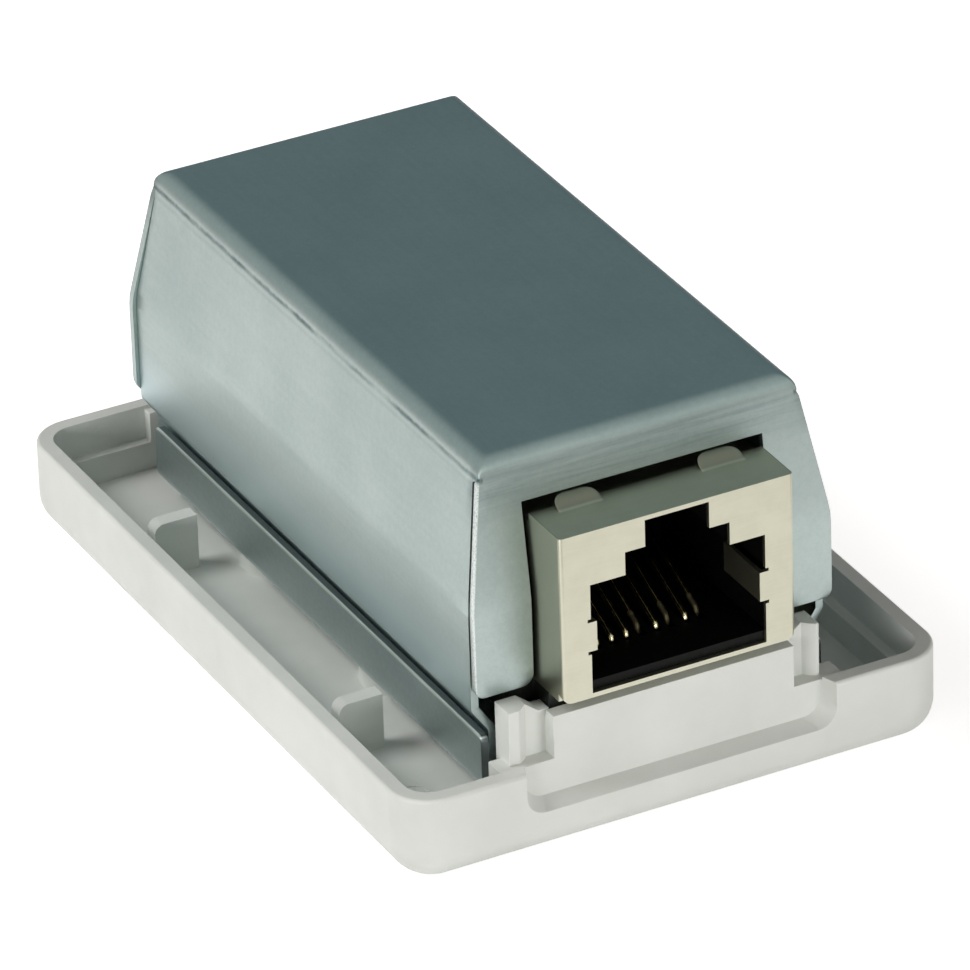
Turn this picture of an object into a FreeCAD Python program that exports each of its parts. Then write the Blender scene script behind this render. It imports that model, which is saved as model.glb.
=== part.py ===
import FreeCAD, Part
import Sketcher
import math
import os
from types import SimpleNamespace

# Shielded surface mount jack box, outer cover off.
# X runs to the right, Y to the rear, Z up. The jack looks out along -Y.
# The origin is the centre of the underside of the base.

# Driving dimensions in mm
SIZES = {
    # Base tray
    "base_width": 37.2,
    "base_length": 54.0,
    "base_height": 6.1,
    "base_corner": 2.8,
    "foot_round": 2.3,
    "rim_wall": 1.1,
    "rim_round": 0.25,
    "ledge_width": 0.7,
    "ledge_drop": 2.35,
    "floor_thickness": 1.8,
    "recess_width": 21.3,
    "recess_depth": 1.2,
    "recess_draft": 20.0,
    "recess_rise": 3.15,
    "recess_corner": 1.4,
    "panel_drop": 0.2,
    "panel_thickness": 1.7,
    "plate_width": 16.5,
    "plate_shift": 0.12,
    "plate_lip": 0.4,
    "plate_lip_depth": 1.0,
    "post_setback": 1.1,
    "post_step": 0.6,
    "post_step_run": 0.7,
    "post_step_bulge": 0.6,
    "post_inner": 9.5,
    "post_reach_left": 10.9,
    "post_reach_right": 10.4,
    "post_depth": 1.2,
    "post_height": 9.55,
    "post_slope": 0.95,
    "rib_thickness": 1.1,
    "rib_width": 3.0,
    "rib_height": 3.8,
    "rib_round": 0.7,
    "rib_from_wall": 0.45,
    "rib_spacing": 25.6,
    "rear_block_width": 20.8,
    "gate_mark_diameter": 2.2,
    "gate_mark_depth": 0.1,
    "gate_mark_inset": 3.0,
    "wall_hole_diameter": 3.4,
    "wall_hole_head": 6.4,
    "wall_hole_spacing": 32.0,
    # Folded steel channel
    "sheet": 0.5,
    "bend_radius": 0.5,
    "tray_rise": 3.0,
    "tray_width": 23.4,
    "tray_height": 4.1,
    "tray_front_gap": 0.3,
    "tray_rear_gap": 3.6,
    "tray_corner": 0.4,
    # Folded steel cover
    "cover_height": 25.2,
    "cover_front_gap": 3.5,
    "cover_rear_gap": 3.9,
    "skirt_gap": 0.2,
    "skirt_lift": 0.3,
    "joggle_width": 1.1,
    "joggle_height": 1.6,
    "joggle_half_slope": 0.3,
    "seat_gap": 0.1,
    "taper_height": 9.35,
    "taper_width": 1.42,
    "top_bend": 1.05,
    "taper_bend": 8.0,
    "seam_gap": 0.25,
    "seam_headroom": 0.7,
    "flange_reach": 0.25,
    "front_flange_height": 9.95,
    "rear_flange_height": 8.9,
    "notch_gap": 0.25,
    "notch_headroom": 0.65,
    "notch_round": 0.8,
    "flange_round": 0.6,
    "rear_flange_round": 1.2,
    # Jack
    "jack_width": 15.9,
    "jack_height": 11.4,
    "jack_depth": 18.0,
    "jack_setback": 0.2,
    "jack_sheet": 0.3,
    "jack_edge_round": 0.25,
    "jack_corner": 0.6,
    "socket_width": 11.9,
    "socket_height": 7.45,
    "socket_lip": 0.3,
    "latch_step_width": 7.1,
    "latch_step_height": 1.55,
    "latch_slot_width": 4.35,
    "tab_height": 2.0,
    "tab_middle": 3.9,
    "tab_inward": 0.4,
    "tab_length": 4.5,
    "tab_relief": 0.22,
    "collar_depth": 3.85,
    "collar_step": 0.5,
    "bump_radius": 1.5,
    "bump_reach": 0.9,
    "bump_spacing": 9.4,
    "bump_shift": 0.3,
    "insert_gap": 0.05,
    "socket_inset": 0.12,
    "socket_floor": 0.95,
    "socket_depth": 13.0,
    "latch_slot_stop": 4.0,
    "contact_pitch": 1.016,
    "contact_width": 0.36,
    "contact_setback": 3.75,
    "contact_length": 8.2,
    "contact_rise": 3.4,
    "contact_slot": 0.5,
    "contact_lift": 0.2,
    "pin_row_depth": 14.2,
    "pin_row_step": 2.5,
    "pin_length": 2.6,
    # Board and wire blocks
    "board_thickness": 1.6,
    "board_margin": 3.0,
    "board_gap": 0.35,
    "board_nose_gap": 0.3,
    "pin_hole": 0.9,
    "spacer_height": 4.9,
    "spacer_diameter": 4.4,
    "block_width": 5.0,
    "block_height": 9.2,
    "block_middle": 5.2,
    "block_behind_jack": 4.9,
    "block_to_screw": 2.6,
    "wire_slot_depth": 5.2,
    "fork_sheet": 0.4,
    "fork_gap": 0.06,
    "fork_headroom": 0.8,
    # Shares of the block's length, and of the pitch of its wires
    "wire_pitch_share": 0.2417,
    "wire_slot_share": 0.38,
    "fork_share": 0.69,
    "fork_slit_share": 0.12,
    # Screws
    "screw_diameter": 2.2,
    "screw_clearance": 0.2,
    "screw_head": 3.8,
    "screw_head_height": 1.3,
    "screw_spacing": 16.2,
    "screw_behind_jack": 2.6,
    "screw_bite": 2.2,
    "boss_diameter": 6.0,
    "cross_width": 0.5,
    "cross_length": 2.0,
    "cross_depth": 0.7,
    # Cable clamp
    "cable_diameter": 6.0,
    "clamp_width": 4.6,
    "clamp_rear_gap": 2.0,
    "clamp_front_gap": 1.3,
    "clamp_foot": 4.4,
    "clamp_screw_bite": 1.0,
    "cable_slot_width": 7.2,
    "cable_slot_round": 2.1,
}

document = FreeCAD.newDocument("jack_box")
sheet = document.addObject("Spreadsheet::Sheet", "Sizes")
for row, (name, number) in enumerate(SIZES.items(), start=1):
    sheet.set(f"A{row}", name)
    sheet.set(f"B{row}", str(number))
    sheet.setAlias(f"B{row}", name)
document.recompute()


class Size:
    """A length that carries its value in mm and the formula that drives it."""

    def __init__(self, formula, value):
        self.formula = formula
        self.value = value

    def __add__(self, other):
        other = as_size(other)
        return Size(f"({self.formula} + {other.formula})", self.value + other.value)

    def __sub__(self, other):
        other = as_size(other)
        return Size(f"({self.formula} - {other.formula})", self.value - other.value)

    def __mul__(self, other):
        other = as_size(other)
        return Size(f"({self.formula} * {other.formula})", self.value * other.value)

    def __truediv__(self, other):
        other = as_size(other)
        return Size(f"({self.formula} / {other.formula})", self.value / other.value)

    def __neg__(self):
        return Size(f"(0 - {self.formula})", -self.value)

    def __radd__(self, other):
        return as_size(other) + self

    def __rsub__(self, other):
        return as_size(other) - self

    def __rmul__(self, other):
        return as_size(other) * self


def as_size(number):
    """A plain number as a Size."""
    if isinstance(number, Size):
        return number
    return Size(repr(float(number)), float(number))


d = SimpleNamespace(**{name: Size(f"Sizes.{name}", number) for name, number in SIZES.items()})

# Levels and planes that several pieces share
FAR = d.base_width
ZERO = as_size(0.0)
base_front = -d.base_length / 2
base_rear = d.base_length / 2
panel_front = base_front + d.recess_depth
panel_rear = panel_front + d.panel_thickness
post_front = panel_front + d.post_setback
post_rear = post_front + d.post_depth
tray_top = d.tray_rise + d.tray_height
web_top = d.tray_rise + d.sheet
tray_front = post_rear + d.tray_front_gap
tray_rear = base_rear - d.rim_wall - d.ledge_width - d.tray_rear_gap
skirt_half = d.tray_width / 2 - d.sheet - d.skirt_gap
cover_half = skirt_half + d.joggle_width
joggle_low = tray_top + d.seat_gap
joggle_high = joggle_low + d.joggle_height
cover_front = base_front + d.cover_front_gap
cover_rear = base_rear - d.cover_rear_gap
taper_low = d.cover_height - d.taper_height
board_bottom = web_top + d.spacer_height
board_top = board_bottom + d.board_thickness
board_half = skirt_half - d.sheet - d.board_gap
jack_front = base_front + d.jack_setback
jack_rear = jack_front + d.jack_depth
jack_top = board_top + d.jack_height
socket_low = board_top + d.socket_lip
socket_high = socket_low + d.socket_height
step_high = socket_high + d.latch_step_height
insert_front = jack_front + d.jack_sheet + d.insert_gap
clamp_rear = tray_rear - d.clamp_rear_gap
clamp_front = clamp_rear - d.clamp_width
cable_level = web_top + d.cable_diameter / 2
board_rear = clamp_front - d.clamp_front_gap
front_screws = jack_rear + d.screw_behind_jack
rear_screws = board_rear - d.board_margin
block_front = jack_rear + d.block_behind_jack
block_rear = rear_screws - d.block_to_screw
wire_pitch = (block_rear - block_front) * d.wire_pitch_share


# Sketching and feature helpers

PLANE_ROLE = {"Z": "XY_Plane", "Y": "XZ_Plane", "X": "YZ_Plane"}
NORMAL_SIGN = {"Z": 1, "Y": -1, "X": 1}


def new_body(label):
    """An empty body with its own label."""
    body = document.addObject("PartDesign::Body", label)
    body.Label = label
    return body


def new_sketch(body, axis, start):
    """A sketch square to a world axis, at the given place along that axis."""
    sketch = body.newObject("Sketcher::SketchObject", "Outline")
    planes = [f for f in body.Origin.OriginFeatures if f.Role == PLANE_ROLE[axis]]
    sketch.AttachmentSupport = [(planes[0], "")]
    sketch.MapMode = "FlatFace"
    offset = start * NORMAL_SIGN[axis]
    place = FreeCAD.Vector(0, 0, offset.value)
    sketch.AttachmentOffset = FreeCAD.Placement(place, FreeCAD.Rotation())
    sketch.setExpression("AttachmentOffset.Base.z", offset.formula)
    return sketch


def drive(sketch, constraint, size):
    """Add a constraint and tie its value to the sheet."""
    index = sketch.addConstraint(constraint)
    if "Sizes" in size.formula:
        sketch.setExpression(f"Constraints[{index}]", size.formula)


def place_point(sketch, edge, end, u, v):
    """Hold one point of an edge at u, v from the sketch's origin."""
    drive(sketch, Sketcher.Constraint("DistanceX", edge, end, u.value), u)
    drive(sketch, Sketcher.Constraint("DistanceY", edge, end, v.value), v)


def draw_outline(sketch, points):
    """A closed outline of straight edges through the points."""
    points = [(as_size(u), as_size(v)) for u, v in points]
    first = sketch.GeometryCount
    count = len(points)
    for i, (u, v) in enumerate(points):
        next_u, next_v = points[(i + 1) % count]
        start = FreeCAD.Vector(u.value, v.value, 0)
        end = FreeCAD.Vector(next_u.value, next_v.value, 0)
        sketch.addGeometry(Part.LineSegment(start, end), False)
    for i in range(count):
        joint = Sketcher.Constraint("Coincident", first + i, 2, first + (i + 1) % count, 1)
        sketch.addConstraint(joint)
    for i, (u, v) in enumerate(points):
        place_point(sketch, first + i, 1, u, v)


def draw_box(sketch, u0, u1, v0, v1):
    """A rectangle from u0, v0 to u1, v1."""
    draw_outline(sketch, [(u0, v0), (u1, v0), (u1, v1), (u0, v1)])


def draw_circle(sketch, u, v, diameter):
    """A circle centred at u, v."""
    u = as_size(u)
    v = as_size(v)
    centre = FreeCAD.Vector(u.value, v.value, 0)
    circle = Part.Circle(centre, FreeCAD.Vector(0, 0, 1), diameter.value / 2)
    edge = sketch.addGeometry(circle, False)
    place_point(sketch, edge, 3, u, v)
    drive(sketch, Sketcher.Constraint("Diameter", edge, diameter.value), diameter)


def add_prism(body, axis, start, end, draw):
    """Material from start to end along an axis, with the section that draw makes."""
    sketch = new_sketch(body, axis, start)
    draw(sketch)
    feature = body.newObject("PartDesign::Pad", "Pad")
    feature.Profile = sketch
    feature.Reversed = NORMAL_SIGN[axis] < 0
    length = end - start
    feature.Length = length.value
    feature.setExpression("Length", length.formula)
    document.recompute()
    body.Tip = feature
    return feature


def cut_prism(body, axis, start, end, draw):
    """Take away the section that draw makes, from start to end along an axis."""
    before = body.Shape.Volume
    sketch = new_sketch(body, axis, start)
    draw(sketch)
    feature = body.newObject("PartDesign::Pocket", "Pocket")
    feature.Profile = sketch
    feature.Reversed = NORMAL_SIGN[axis] > 0
    length = end - start
    feature.Length = length.value
    feature.setExpression("Length", length.formula)
    document.recompute()
    body.Tip = feature
    if body.Shape.Volume > before - 1e-6:
        raise RuntimeError(f"a cut in {body.Label} took nothing away")
    return feature


def round_edges(body, radius, wanted):
    """Round the edges of the body for which wanted(edge) is true."""
    last = body.Tip
    edges = enumerate(last.Shape.Edges, start=1)
    names = [f"Edge{index}" for index, edge in edges if wanted(edge)]
    if not names:
        raise RuntimeError(f"no edge to round in {body.Label}")
    feature = body.newObject("PartDesign::Fillet", "Round")
    feature.Base = (last, names)
    feature.Radius = radius.value
    feature.setExpression("Radius", radius.formula)
    document.recompute()
    body.Tip = feature
    if feature.Shape.isNull():
        raise RuntimeError(f"a round in {body.Label} did not build")
    return feature


def runs_along(edge, axis, tolerance=1e-4):
    """Whether a straight edge lies along a world axis."""
    if edge.Curve.TypeId != "Part::GeomLine":
        return False
    direction = edge.Vertexes[-1].Point - edge.Vertexes[0].Point
    along = {"X": direction.x, "Y": direction.y, "Z": direction.z}[axis]
    return direction.Length - abs(along) < tolerance


def leans_back(edge):
    """Whether a straight edge runs from front to rear and out of square."""
    direction = edge.Vertexes[-1].Point - edge.Vertexes[0].Point
    straight = abs(direction.Length - edge.Length) < 1e-3
    return straight and min(abs(direction.x), abs(direction.y), abs(direction.z)) > 0.05


def middle(edge):
    """The middle of an edge's box."""
    return edge.BoundBox.Center


def near(value, size, tolerance=1e-3):
    """Whether a coordinate is at a size, to a micrometre."""
    return abs(value - size.value) < tolerance


def stands_in_corner(edge, x, y):
    """Whether an edge stands upright in one of the four corners at x, y."""
    at = middle(edge)
    return runs_along(edge, "Z") and near(abs(at.x), x) and near(abs(at.y), y)


# Base tray

def build_base_tray():
    """Moulded tray: rim, ledge, ribs, front panel with plate and posts, bosses, cable slot."""
    body = new_body("base_tray")
    half_x = d.base_width / 2
    half_y = d.base_length / 2
    add_prism(body, "Z", ZERO, d.base_height,
              lambda s: draw_box(s, -half_x, half_x, -half_y, half_y))
    round_edges(body, d.base_corner, lambda e: runs_along(e, "Z"))
    round_edges(body, d.foot_round, lambda e: near(e.BoundBox.ZMax, ZERO))
    round_edges(body, d.rim_round, lambda e: near(e.BoundBox.ZMin, d.base_height))

    wide_x = half_x - d.rim_wall
    wide_y = half_y - d.rim_wall
    above = d.base_height + 1
    cut_prism(body, "Z", d.base_height - d.ledge_drop, above,
              lambda s: draw_box(s, -wide_x, wide_x, -wide_y, wide_y))
    inner_corner = d.base_corner - d.rim_wall
    round_edges(body, inner_corner, lambda e: stands_in_corner(e, wide_x, wide_y))
    low_x = wide_x - d.ledge_width
    low_y = wide_y - d.ledge_width
    cut_prism(body, "Z", d.floor_thickness, above,
              lambda s: draw_box(s, -low_x, low_x, -low_y, low_y))
    round_edges(body, inner_corner - d.ledge_width, lambda e: stands_in_corner(e, low_x, low_y))

    # Thick middle of the rear wall, with the cable's slot through it
    block_half = d.rear_block_width / 2
    wall_inside = half_y - d.rim_wall / 2
    add_prism(body, "Z", d.floor_thickness / 2, d.base_height - d.rim_round,
              lambda s: draw_box(s, -block_half, block_half, low_y, wall_inside))
    slot_half = d.cable_slot_width / 2
    slot_low = web_top
    cut_prism(body, "Y", low_y - 1, half_y + 1,
              lambda s: draw_box(s, -slot_half, slot_half, slot_low, above))
    round_edges(body, d.cable_slot_round, lambda e: runs_along(e, "Y")
                and near(middle(e).z, slot_low) and near(abs(middle(e).x), slot_half))

    # Front panel: its outer face lies back in a recess of the front wall
    recess_half = d.recess_width / 2
    backing_half = recess_half + d.rim_wall
    panel_top = d.base_height - d.panel_drop
    backing_front = base_front + d.rim_wall / 2
    add_prism(body, "Z", d.floor_thickness / 2, panel_top,
              lambda s: draw_box(s, -backing_half, backing_half, backing_front, panel_rear))
    recess = cut_prism(body, "Y", base_front, panel_front,
                       lambda s: draw_box(s, -recess_half, recess_half, d.recess_rise, above))
    recess.TaperAngle = -d.recess_draft.value
    recess.setExpression("TaperAngle", (-d.recess_draft).formula)
    document.recompute()
    round_edges(body, d.recess_corner, lambda e: leans_back(e) and middle(e).z < panel_top.value)

    # Plate under the jack, with a step behind its top edge for the board
    plate_half = d.plate_width / 2
    plate_top = board_bottom + d.plate_lip
    lip_rear = panel_front + d.plate_lip_depth
    root = panel_top - 1
    plate_left = d.plate_shift - plate_half
    plate_right = d.plate_shift + plate_half
    add_prism(body, "Z", root, board_bottom,
              lambda s: draw_box(s, plate_left, plate_right, panel_front, panel_rear))
    add_prism(body, "Z", root, plate_top,
              lambda s: draw_box(s, plate_left, plate_right, panel_front, lip_rear))
    # Posts beside it: a flat strip set back, then a column that steps forward
    column = post_front - d.post_step
    root_half = plate_half - d.plate_lip
    bulge_x = d.post_inner + d.post_step_run / 2
    bulge_y = post_front - d.post_step * d.post_step_bulge
    column_x = d.post_inner + d.post_step_run
    for side, reach in ((-1, d.post_reach_left), (1, d.post_reach_right)):
        outline = [(side * root_half, post_rear), (side * root_half, post_front),
                   (side * d.post_inner, post_front), (side * bulge_x, bulge_y),
                   (side * column_x, column), (side * reach, column), (side * reach, post_rear)]
        if side < 0:
            outline.reverse()
        add_prism(body, "Z", d.floor_thickness / 2, d.post_height,
                  lambda s: draw_outline(s, outline))
    slope_end = d.post_inner - d.post_slope
    over = d.post_height + 1
    for side in (-1, 1):
        outline = [(side * d.post_inner, over), (side * d.post_inner, d.post_height),
                   (side * slope_end, plate_top), (side * (root_half - 1), plate_top),
                   (side * (root_half - 1), over)]
        if side > 0:
            outline.reverse()
        cut_prism(body, "Y", panel_front, post_rear + 1, lambda s: draw_outline(s, outline))

    # Ribs that the outer cover's walls stand against
    rib_outer = low_x - d.rib_from_wall
    rib_inner = rib_outer - d.rib_width
    rib_top = d.floor_thickness + d.rib_height
    for side in (-1, 1):
        low, high = (rib_inner, rib_outer) if side > 0 else (-rib_outer, -rib_inner)
        for end in (-1, 1):
            rib_front = (end * d.rib_spacing - d.rib_thickness) / 2
            add_prism(body, "Z", d.floor_thickness / 2, rib_top,
                      lambda s: draw_box(s, low, high, rib_front, rib_front + d.rib_thickness))
    round_edges(body, d.rib_round, lambda e: runs_along(e, "Y") and near(middle(e).z, rib_top)
                and near(abs(middle(e).x), rib_outer))

    # Bosses under the channel, pilot holes, wall screw holes and the moulding mark
    def draw_bosses(sketch):
        for x, y in screw_places():
            draw_circle(sketch, x, y, d.boss_diameter)
    add_prism(body, "Z", d.floor_thickness / 2, d.tray_rise, draw_bosses)

    def draw_pilots(sketch):
        for x, y in screw_places():
            draw_circle(sketch, x, y, d.screw_diameter + d.screw_clearance / 2)
    cut_prism(body, "Z", d.tray_rise - d.screw_bite, d.tray_rise + 1, draw_pilots)

    def draw_wall_holes(sketch, diameter):
        draw_circle(sketch, ZERO, d.wall_hole_spacing / 2, diameter)
        draw_circle(sketch, ZERO, -d.wall_hole_spacing / 2, diameter)
    cut_prism(body, "Z", ZERO - 1, d.floor_thickness + 1,
              lambda s: draw_wall_holes(s, d.wall_hole_diameter))
    cut_prism(body, "Z", d.floor_thickness / 2, d.floor_thickness + 1,
              lambda s: draw_wall_holes(s, d.wall_hole_head))
    mark_x = -low_x + d.gate_mark_inset - d.ledge_width
    mark_y = -low_y + d.gate_mark_inset * 2
    cut_prism(body, "Z", d.floor_thickness - d.gate_mark_depth, d.floor_thickness + 1,
              lambda s: draw_circle(s, mark_x, mark_y, d.gate_mark_diameter))
    return body


def screw_places():
    """Centres of the four board screws, front pair first."""
    half = d.screw_spacing / 2
    return [(-half, front_screws), (half, front_screws), (-half, rear_screws), (half, rear_screws)]


# Folded steel channel

def build_shield_tray():
    """Folded channel: web on the bosses and two upright flanges."""
    body = new_body("shield_tray")
    half = d.tray_width / 2
    inner = half - d.sheet
    outline = [(-half, d.tray_rise), (half, d.tray_rise), (half, tray_top), (inner, tray_top),
               (inner, web_top), (-inner, web_top), (-inner, tray_top), (-half, tray_top)]
    add_prism(body, "Y", tray_front, tray_rear, lambda s: draw_outline(s, outline))
    round_edges(body, d.bend_radius + d.sheet,
                lambda e: runs_along(e, "Y") and near(middle(e).z, d.tray_rise))
    round_edges(body, d.bend_radius, lambda e: runs_along(e, "Y") and near(middle(e).z, web_top))
    round_edges(body, d.tray_corner, lambda e: runs_along(e, "X") and near(middle(e).z, tray_top))

    def draw_holes(sketch):
        for x, y in screw_places() + clamp_screw_places():
            draw_circle(sketch, x, y, d.screw_diameter + d.screw_clearance)
    cut_prism(body, "Z", d.tray_rise - 1, web_top + 1, draw_holes)
    return body


# Folded steel cover

def cover_block(label, inset, drop, foot):
    """The cover's outer form, or with an inset the space inside it."""
    body = new_body(label)
    half = cover_half - inset
    skirt = skirt_half - inset
    top_half = half - d.taper_width
    top = d.cover_height - drop
    low = joggle_low + drop * d.joggle_half_slope
    high = joggle_high + drop * d.joggle_half_slope
    right = [(skirt, foot), (skirt, low), (half, high), (half, taper_low), (top_half, top)]
    left = [(-x, z) for x, z in reversed(right)]
    front = cover_front + inset
    rear = cover_rear - inset
    add_prism(body, "Y", front, rear, lambda s: draw_outline(s, right + left))
    over = top + 1
    lean = d.taper_width * (over - taper_low) / (top - taper_low)
    cut_prism(body, "X", -FAR, FAR, lambda s: draw_outline(
        s, [(front - 1, taper_low), (front, taper_low), (front + lean, over), (front - 1, over)]))
    cut_prism(body, "X", -FAR, FAR, lambda s: draw_outline(
        s, [(rear + 1, taper_low), (rear + 1, over), (rear - lean, over), (rear, taper_low)]))
    round_edges(body, d.top_bend - drop, lambda e: near(e.BoundBox.ZMin, top))
    round_edges(body, d.taper_bend, lambda e: runs_along(e, "Y") and near(middle(e).z, taper_low))
    round_edges(body, d.joggle_width / 2, lambda e: runs_along(e, "Y")
                and (near(middle(e).z, low) or near(middle(e).z, high)))
    return body


def build_shield_cover():
    """Folded cover: tapered top, front flange with a jack notch, rear flange, joggled skirts."""
    outer = cover_block("cover_outside", ZERO, ZERO, web_top + d.skirt_lift)
    inner = cover_block("cover_space", d.sheet, d.sheet, d.tray_rise)
    front_inside = cover_front + d.sheet
    rear_inside = cover_rear - d.sheet
    side_front = front_inside + d.seam_gap
    side_rear = rear_inside - d.seam_gap
    lean = d.taper_width / d.taper_height
    seam_top = d.cover_height - d.seam_headroom
    rise = (seam_top - taper_low) * lean
    flange_top = d.cover_height - d.top_bend
    flange_rise = (flange_top - taper_low) * lean
    wide_half = cover_half + d.flange_reach

    # Flanges a little wider than the side panels, but for the left seam at the front
    ends = ((cover_front, 1, d.front_flange_height, cover_half),
            (cover_rear, -1, d.rear_flange_height, wide_half))
    for face, inward, foot, left_half in ends:
        back = face + inward * d.sheet
        outline = [(face, foot), (back, foot), (back, taper_low),
                   (back + inward * flange_rise, flange_top),
                   (face + inward * flange_rise, flange_top), (face, taper_low)]
        if inward < 0:
            outline.reverse()
        add_prism(outer, "X", -left_half, wide_half, lambda s: draw_outline(s, outline))
    over = flange_top + 1
    slant = (d.flange_reach + flange_rise) / (flange_top - taper_low)
    high_half = cover_half - flange_rise - slant
    for side in (-1, 1):
        outline = [(side * wide_half, taper_low), (side * (wide_half + 1), taper_low),
                   (side * (wide_half + 1), over), (side * high_half, over)]
        if side < 0:
            outline.reverse()
        cut_prism(outer, "Y", cover_front - 1, cover_rear + 1, lambda s: draw_outline(s, outline))

    # Seams between the side panels and the flanges
    cut_prism(outer, "X", -FAR, FAR, lambda s: draw_outline(
        s, [(front_inside, d.front_flange_height), (side_front, d.front_flange_height),
            (side_front, taper_low), (side_front + rise, seam_top), (front_inside + rise, seam_top),
            (front_inside, taper_low)]))
    cut_prism(outer, "X", -FAR, FAR, lambda s: draw_outline(
        s, [(side_rear, d.rear_flange_height), (rear_inside, d.rear_flange_height),
            (rear_inside, taper_low), (rear_inside - rise, seam_top), (side_rear - rise, seam_top),
            (side_rear, taper_low)]))
    # Below the flanges only the side skirts go on
    cut_prism(outer, "X", -FAR, FAR, lambda s: draw_box(
        s, cover_front - 1, side_front, ZERO, d.front_flange_height))
    cut_prism(outer, "X", -FAR, FAR, lambda s: draw_box(
        s, side_rear, cover_rear + 1, ZERO, d.rear_flange_height))
    # Jack notch in the front flange, cable notch in the rear flange
    notch_half = d.jack_width / 2 + d.notch_gap
    notch_top = jack_top + d.notch_headroom
    cut_prism(outer, "Y", cover_front - 1, front_inside + d.taper_width,
              lambda s: draw_box(s, -notch_half, notch_half, ZERO, notch_top))
    cut_prism(outer, "Y", rear_inside - 1, cover_rear + 1,
              lambda s: draw_circle(s, ZERO, cable_level, d.cable_slot_width))

    shell = document.addObject("Part::Cut", "cover_shell")
    shell.Base = outer
    shell.Tool = inner
    document.recompute()
    rounds = []
    corners = ((-notch_half, d.front_flange_height, d.notch_round),
               (notch_half, d.front_flange_height, d.notch_round),
               (-cover_half, d.front_flange_height, d.flange_round),
               (wide_half, d.front_flange_height, d.flange_round),
               (-wide_half, d.rear_flange_height, d.rear_flange_round),
               (wide_half, d.rear_flange_height, d.rear_flange_round))
    for index, edge in enumerate(shell.Shape.Edges, start=1):
        at = middle(edge)
        if not runs_along(edge, "Y") or edge.Length > d.sheet.value * 2:
            continue
        for x, z, radius in corners:
            if near(at.x, x) and near(at.z, z):
                rounds.append((index, radius.value, radius.value))
    if len(rounds) != len(corners):
        raise RuntimeError(f"{len(rounds)} flange corners found in place of {len(corners)}")
    cover = document.addObject("Part::Fillet", "shield_cover")
    cover.Label = "shield_cover"
    cover.Base = shell
    cover.Edges = rounds
    document.recompute()
    return cover


# Jack

def socket_outline(grow, low):
    """Plug opening seen from the front: body, latch step and latch slot up to the top."""
    body_half = d.socket_width / 2 + grow
    step_half = d.latch_step_width / 2 + grow
    slot_half = d.latch_slot_width / 2 + grow
    right = [(body_half, low), (body_half, socket_high), (step_half, socket_high),
             (step_half, step_high), (slot_half, step_high)]
    return right, slot_half


def build_jack_shield():
    """Tin-plated shell: face with the plug opening, side tabs, raised collar, half-round bumps."""
    body = new_body("jack_shield")
    half = d.jack_width / 2
    inner = half - d.jack_sheet
    lower_top = jack_top - d.collar_step
    collar_rear = jack_front + d.collar_depth
    add_prism(body, "Z", board_top, lower_top, lambda s: draw_box(s, -half, half, jack_front, jack_rear))
    add_prism(body, "Z", lower_top - d.jack_sheet, jack_top,
              lambda s: draw_box(s, -half, half, jack_front, collar_rear))

    def draw_bumps(sketch):
        for side in (-1, 1):
            draw_circle(sketch, side * d.bump_spacing / 2 + d.bump_shift,
                        collar_rear + d.bump_reach - d.bump_radius, d.bump_radius * 2)
    add_prism(body, "Z", lower_top - d.jack_sheet, jack_top, draw_bumps)
    round_edges(body, d.jack_edge_round,
                lambda e: runs_along(e, "Z") and near(middle(e).y, jack_front))
    # Lower corners of the face, cut to three chords of a round
    third = math.radians(30)
    near_end = d.jack_corner * (1 - math.cos(third))
    far_end = d.jack_corner * (1 - math.sin(third))
    for side in (-1, 1):
        outline = [(side * half, board_top + d.jack_corner),
                   (side * (half - near_end), board_top + far_end),
                   (side * (half - far_end), board_top + near_end),
                   (side * (half - d.jack_corner), board_top), (side * (half + 1), board_top)]
        if side > 0:
            outline.reverse()
        cut_prism(body, "Y", jack_front - 1, jack_front + d.jack_corner, lambda s: draw_outline(s, outline))
    # Hollow inside, open below behind the folded lip
    face_rear = jack_front + d.jack_sheet
    space_rear = jack_rear - d.jack_sheet
    cut_prism(body, "Z", board_top + d.jack_sheet, lower_top - d.jack_sheet,
              lambda s: draw_box(s, -inner, inner, face_rear, space_rear))
    cut_prism(body, "Z", board_top - 1, board_top + d.jack_sheet + 1,
              lambda s: draw_box(s, -inner, inner, panel_rear, space_rear))
    cut_prism(body, "Z", lower_top - d.jack_sheet - 1, jack_top - d.jack_sheet,
              lambda s: draw_box(s, -inner, inner, face_rear, collar_rear - d.jack_sheet))
    # Plug opening
    right, slot_half = socket_outline(ZERO, socket_low)
    slot_top = jack_top - d.jack_sheet
    left = [(-x, z) for x, z in reversed(right)]
    outline = right + [(slot_half, slot_top), (-slot_half, slot_top)] + left
    cut_prism(body, "Y", jack_front - 1, face_rear, lambda s: draw_outline(s, outline))
    # Side tabs that lean into the opening, with relief slots above and below
    tab_low = socket_low + d.tab_middle - d.tab_height / 2
    tab_high = tab_low + d.tab_height
    edge_in = d.socket_width / 2 - d.tab_inward
    edge_out = edge_in + d.jack_sheet
    root = d.socket_width / 2 + d.tab_relief
    tab_start = jack_front + d.jack_sheet / 2
    for side in (-1, 1):
        low, high = (edge_in, edge_out) if side > 0 else (-edge_out, -edge_in)
        add_prism(body, "Z", tab_low, tab_high,
                  lambda s: draw_box(s, low, high, tab_start, jack_front + d.tab_length))
        low, high = (edge_in, root) if side > 0 else (-root, -edge_in)
        add_prism(body, "Z", tab_low, tab_high,
                  lambda s: draw_box(s, low, high, jack_front, face_rear))
        for start in (tab_low - d.tab_relief, tab_high):
            cut_prism(body, "Z", start, start + d.tab_relief,
                      lambda s: draw_box(s, low, high, jack_front - 1, face_rear))
    return body


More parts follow.
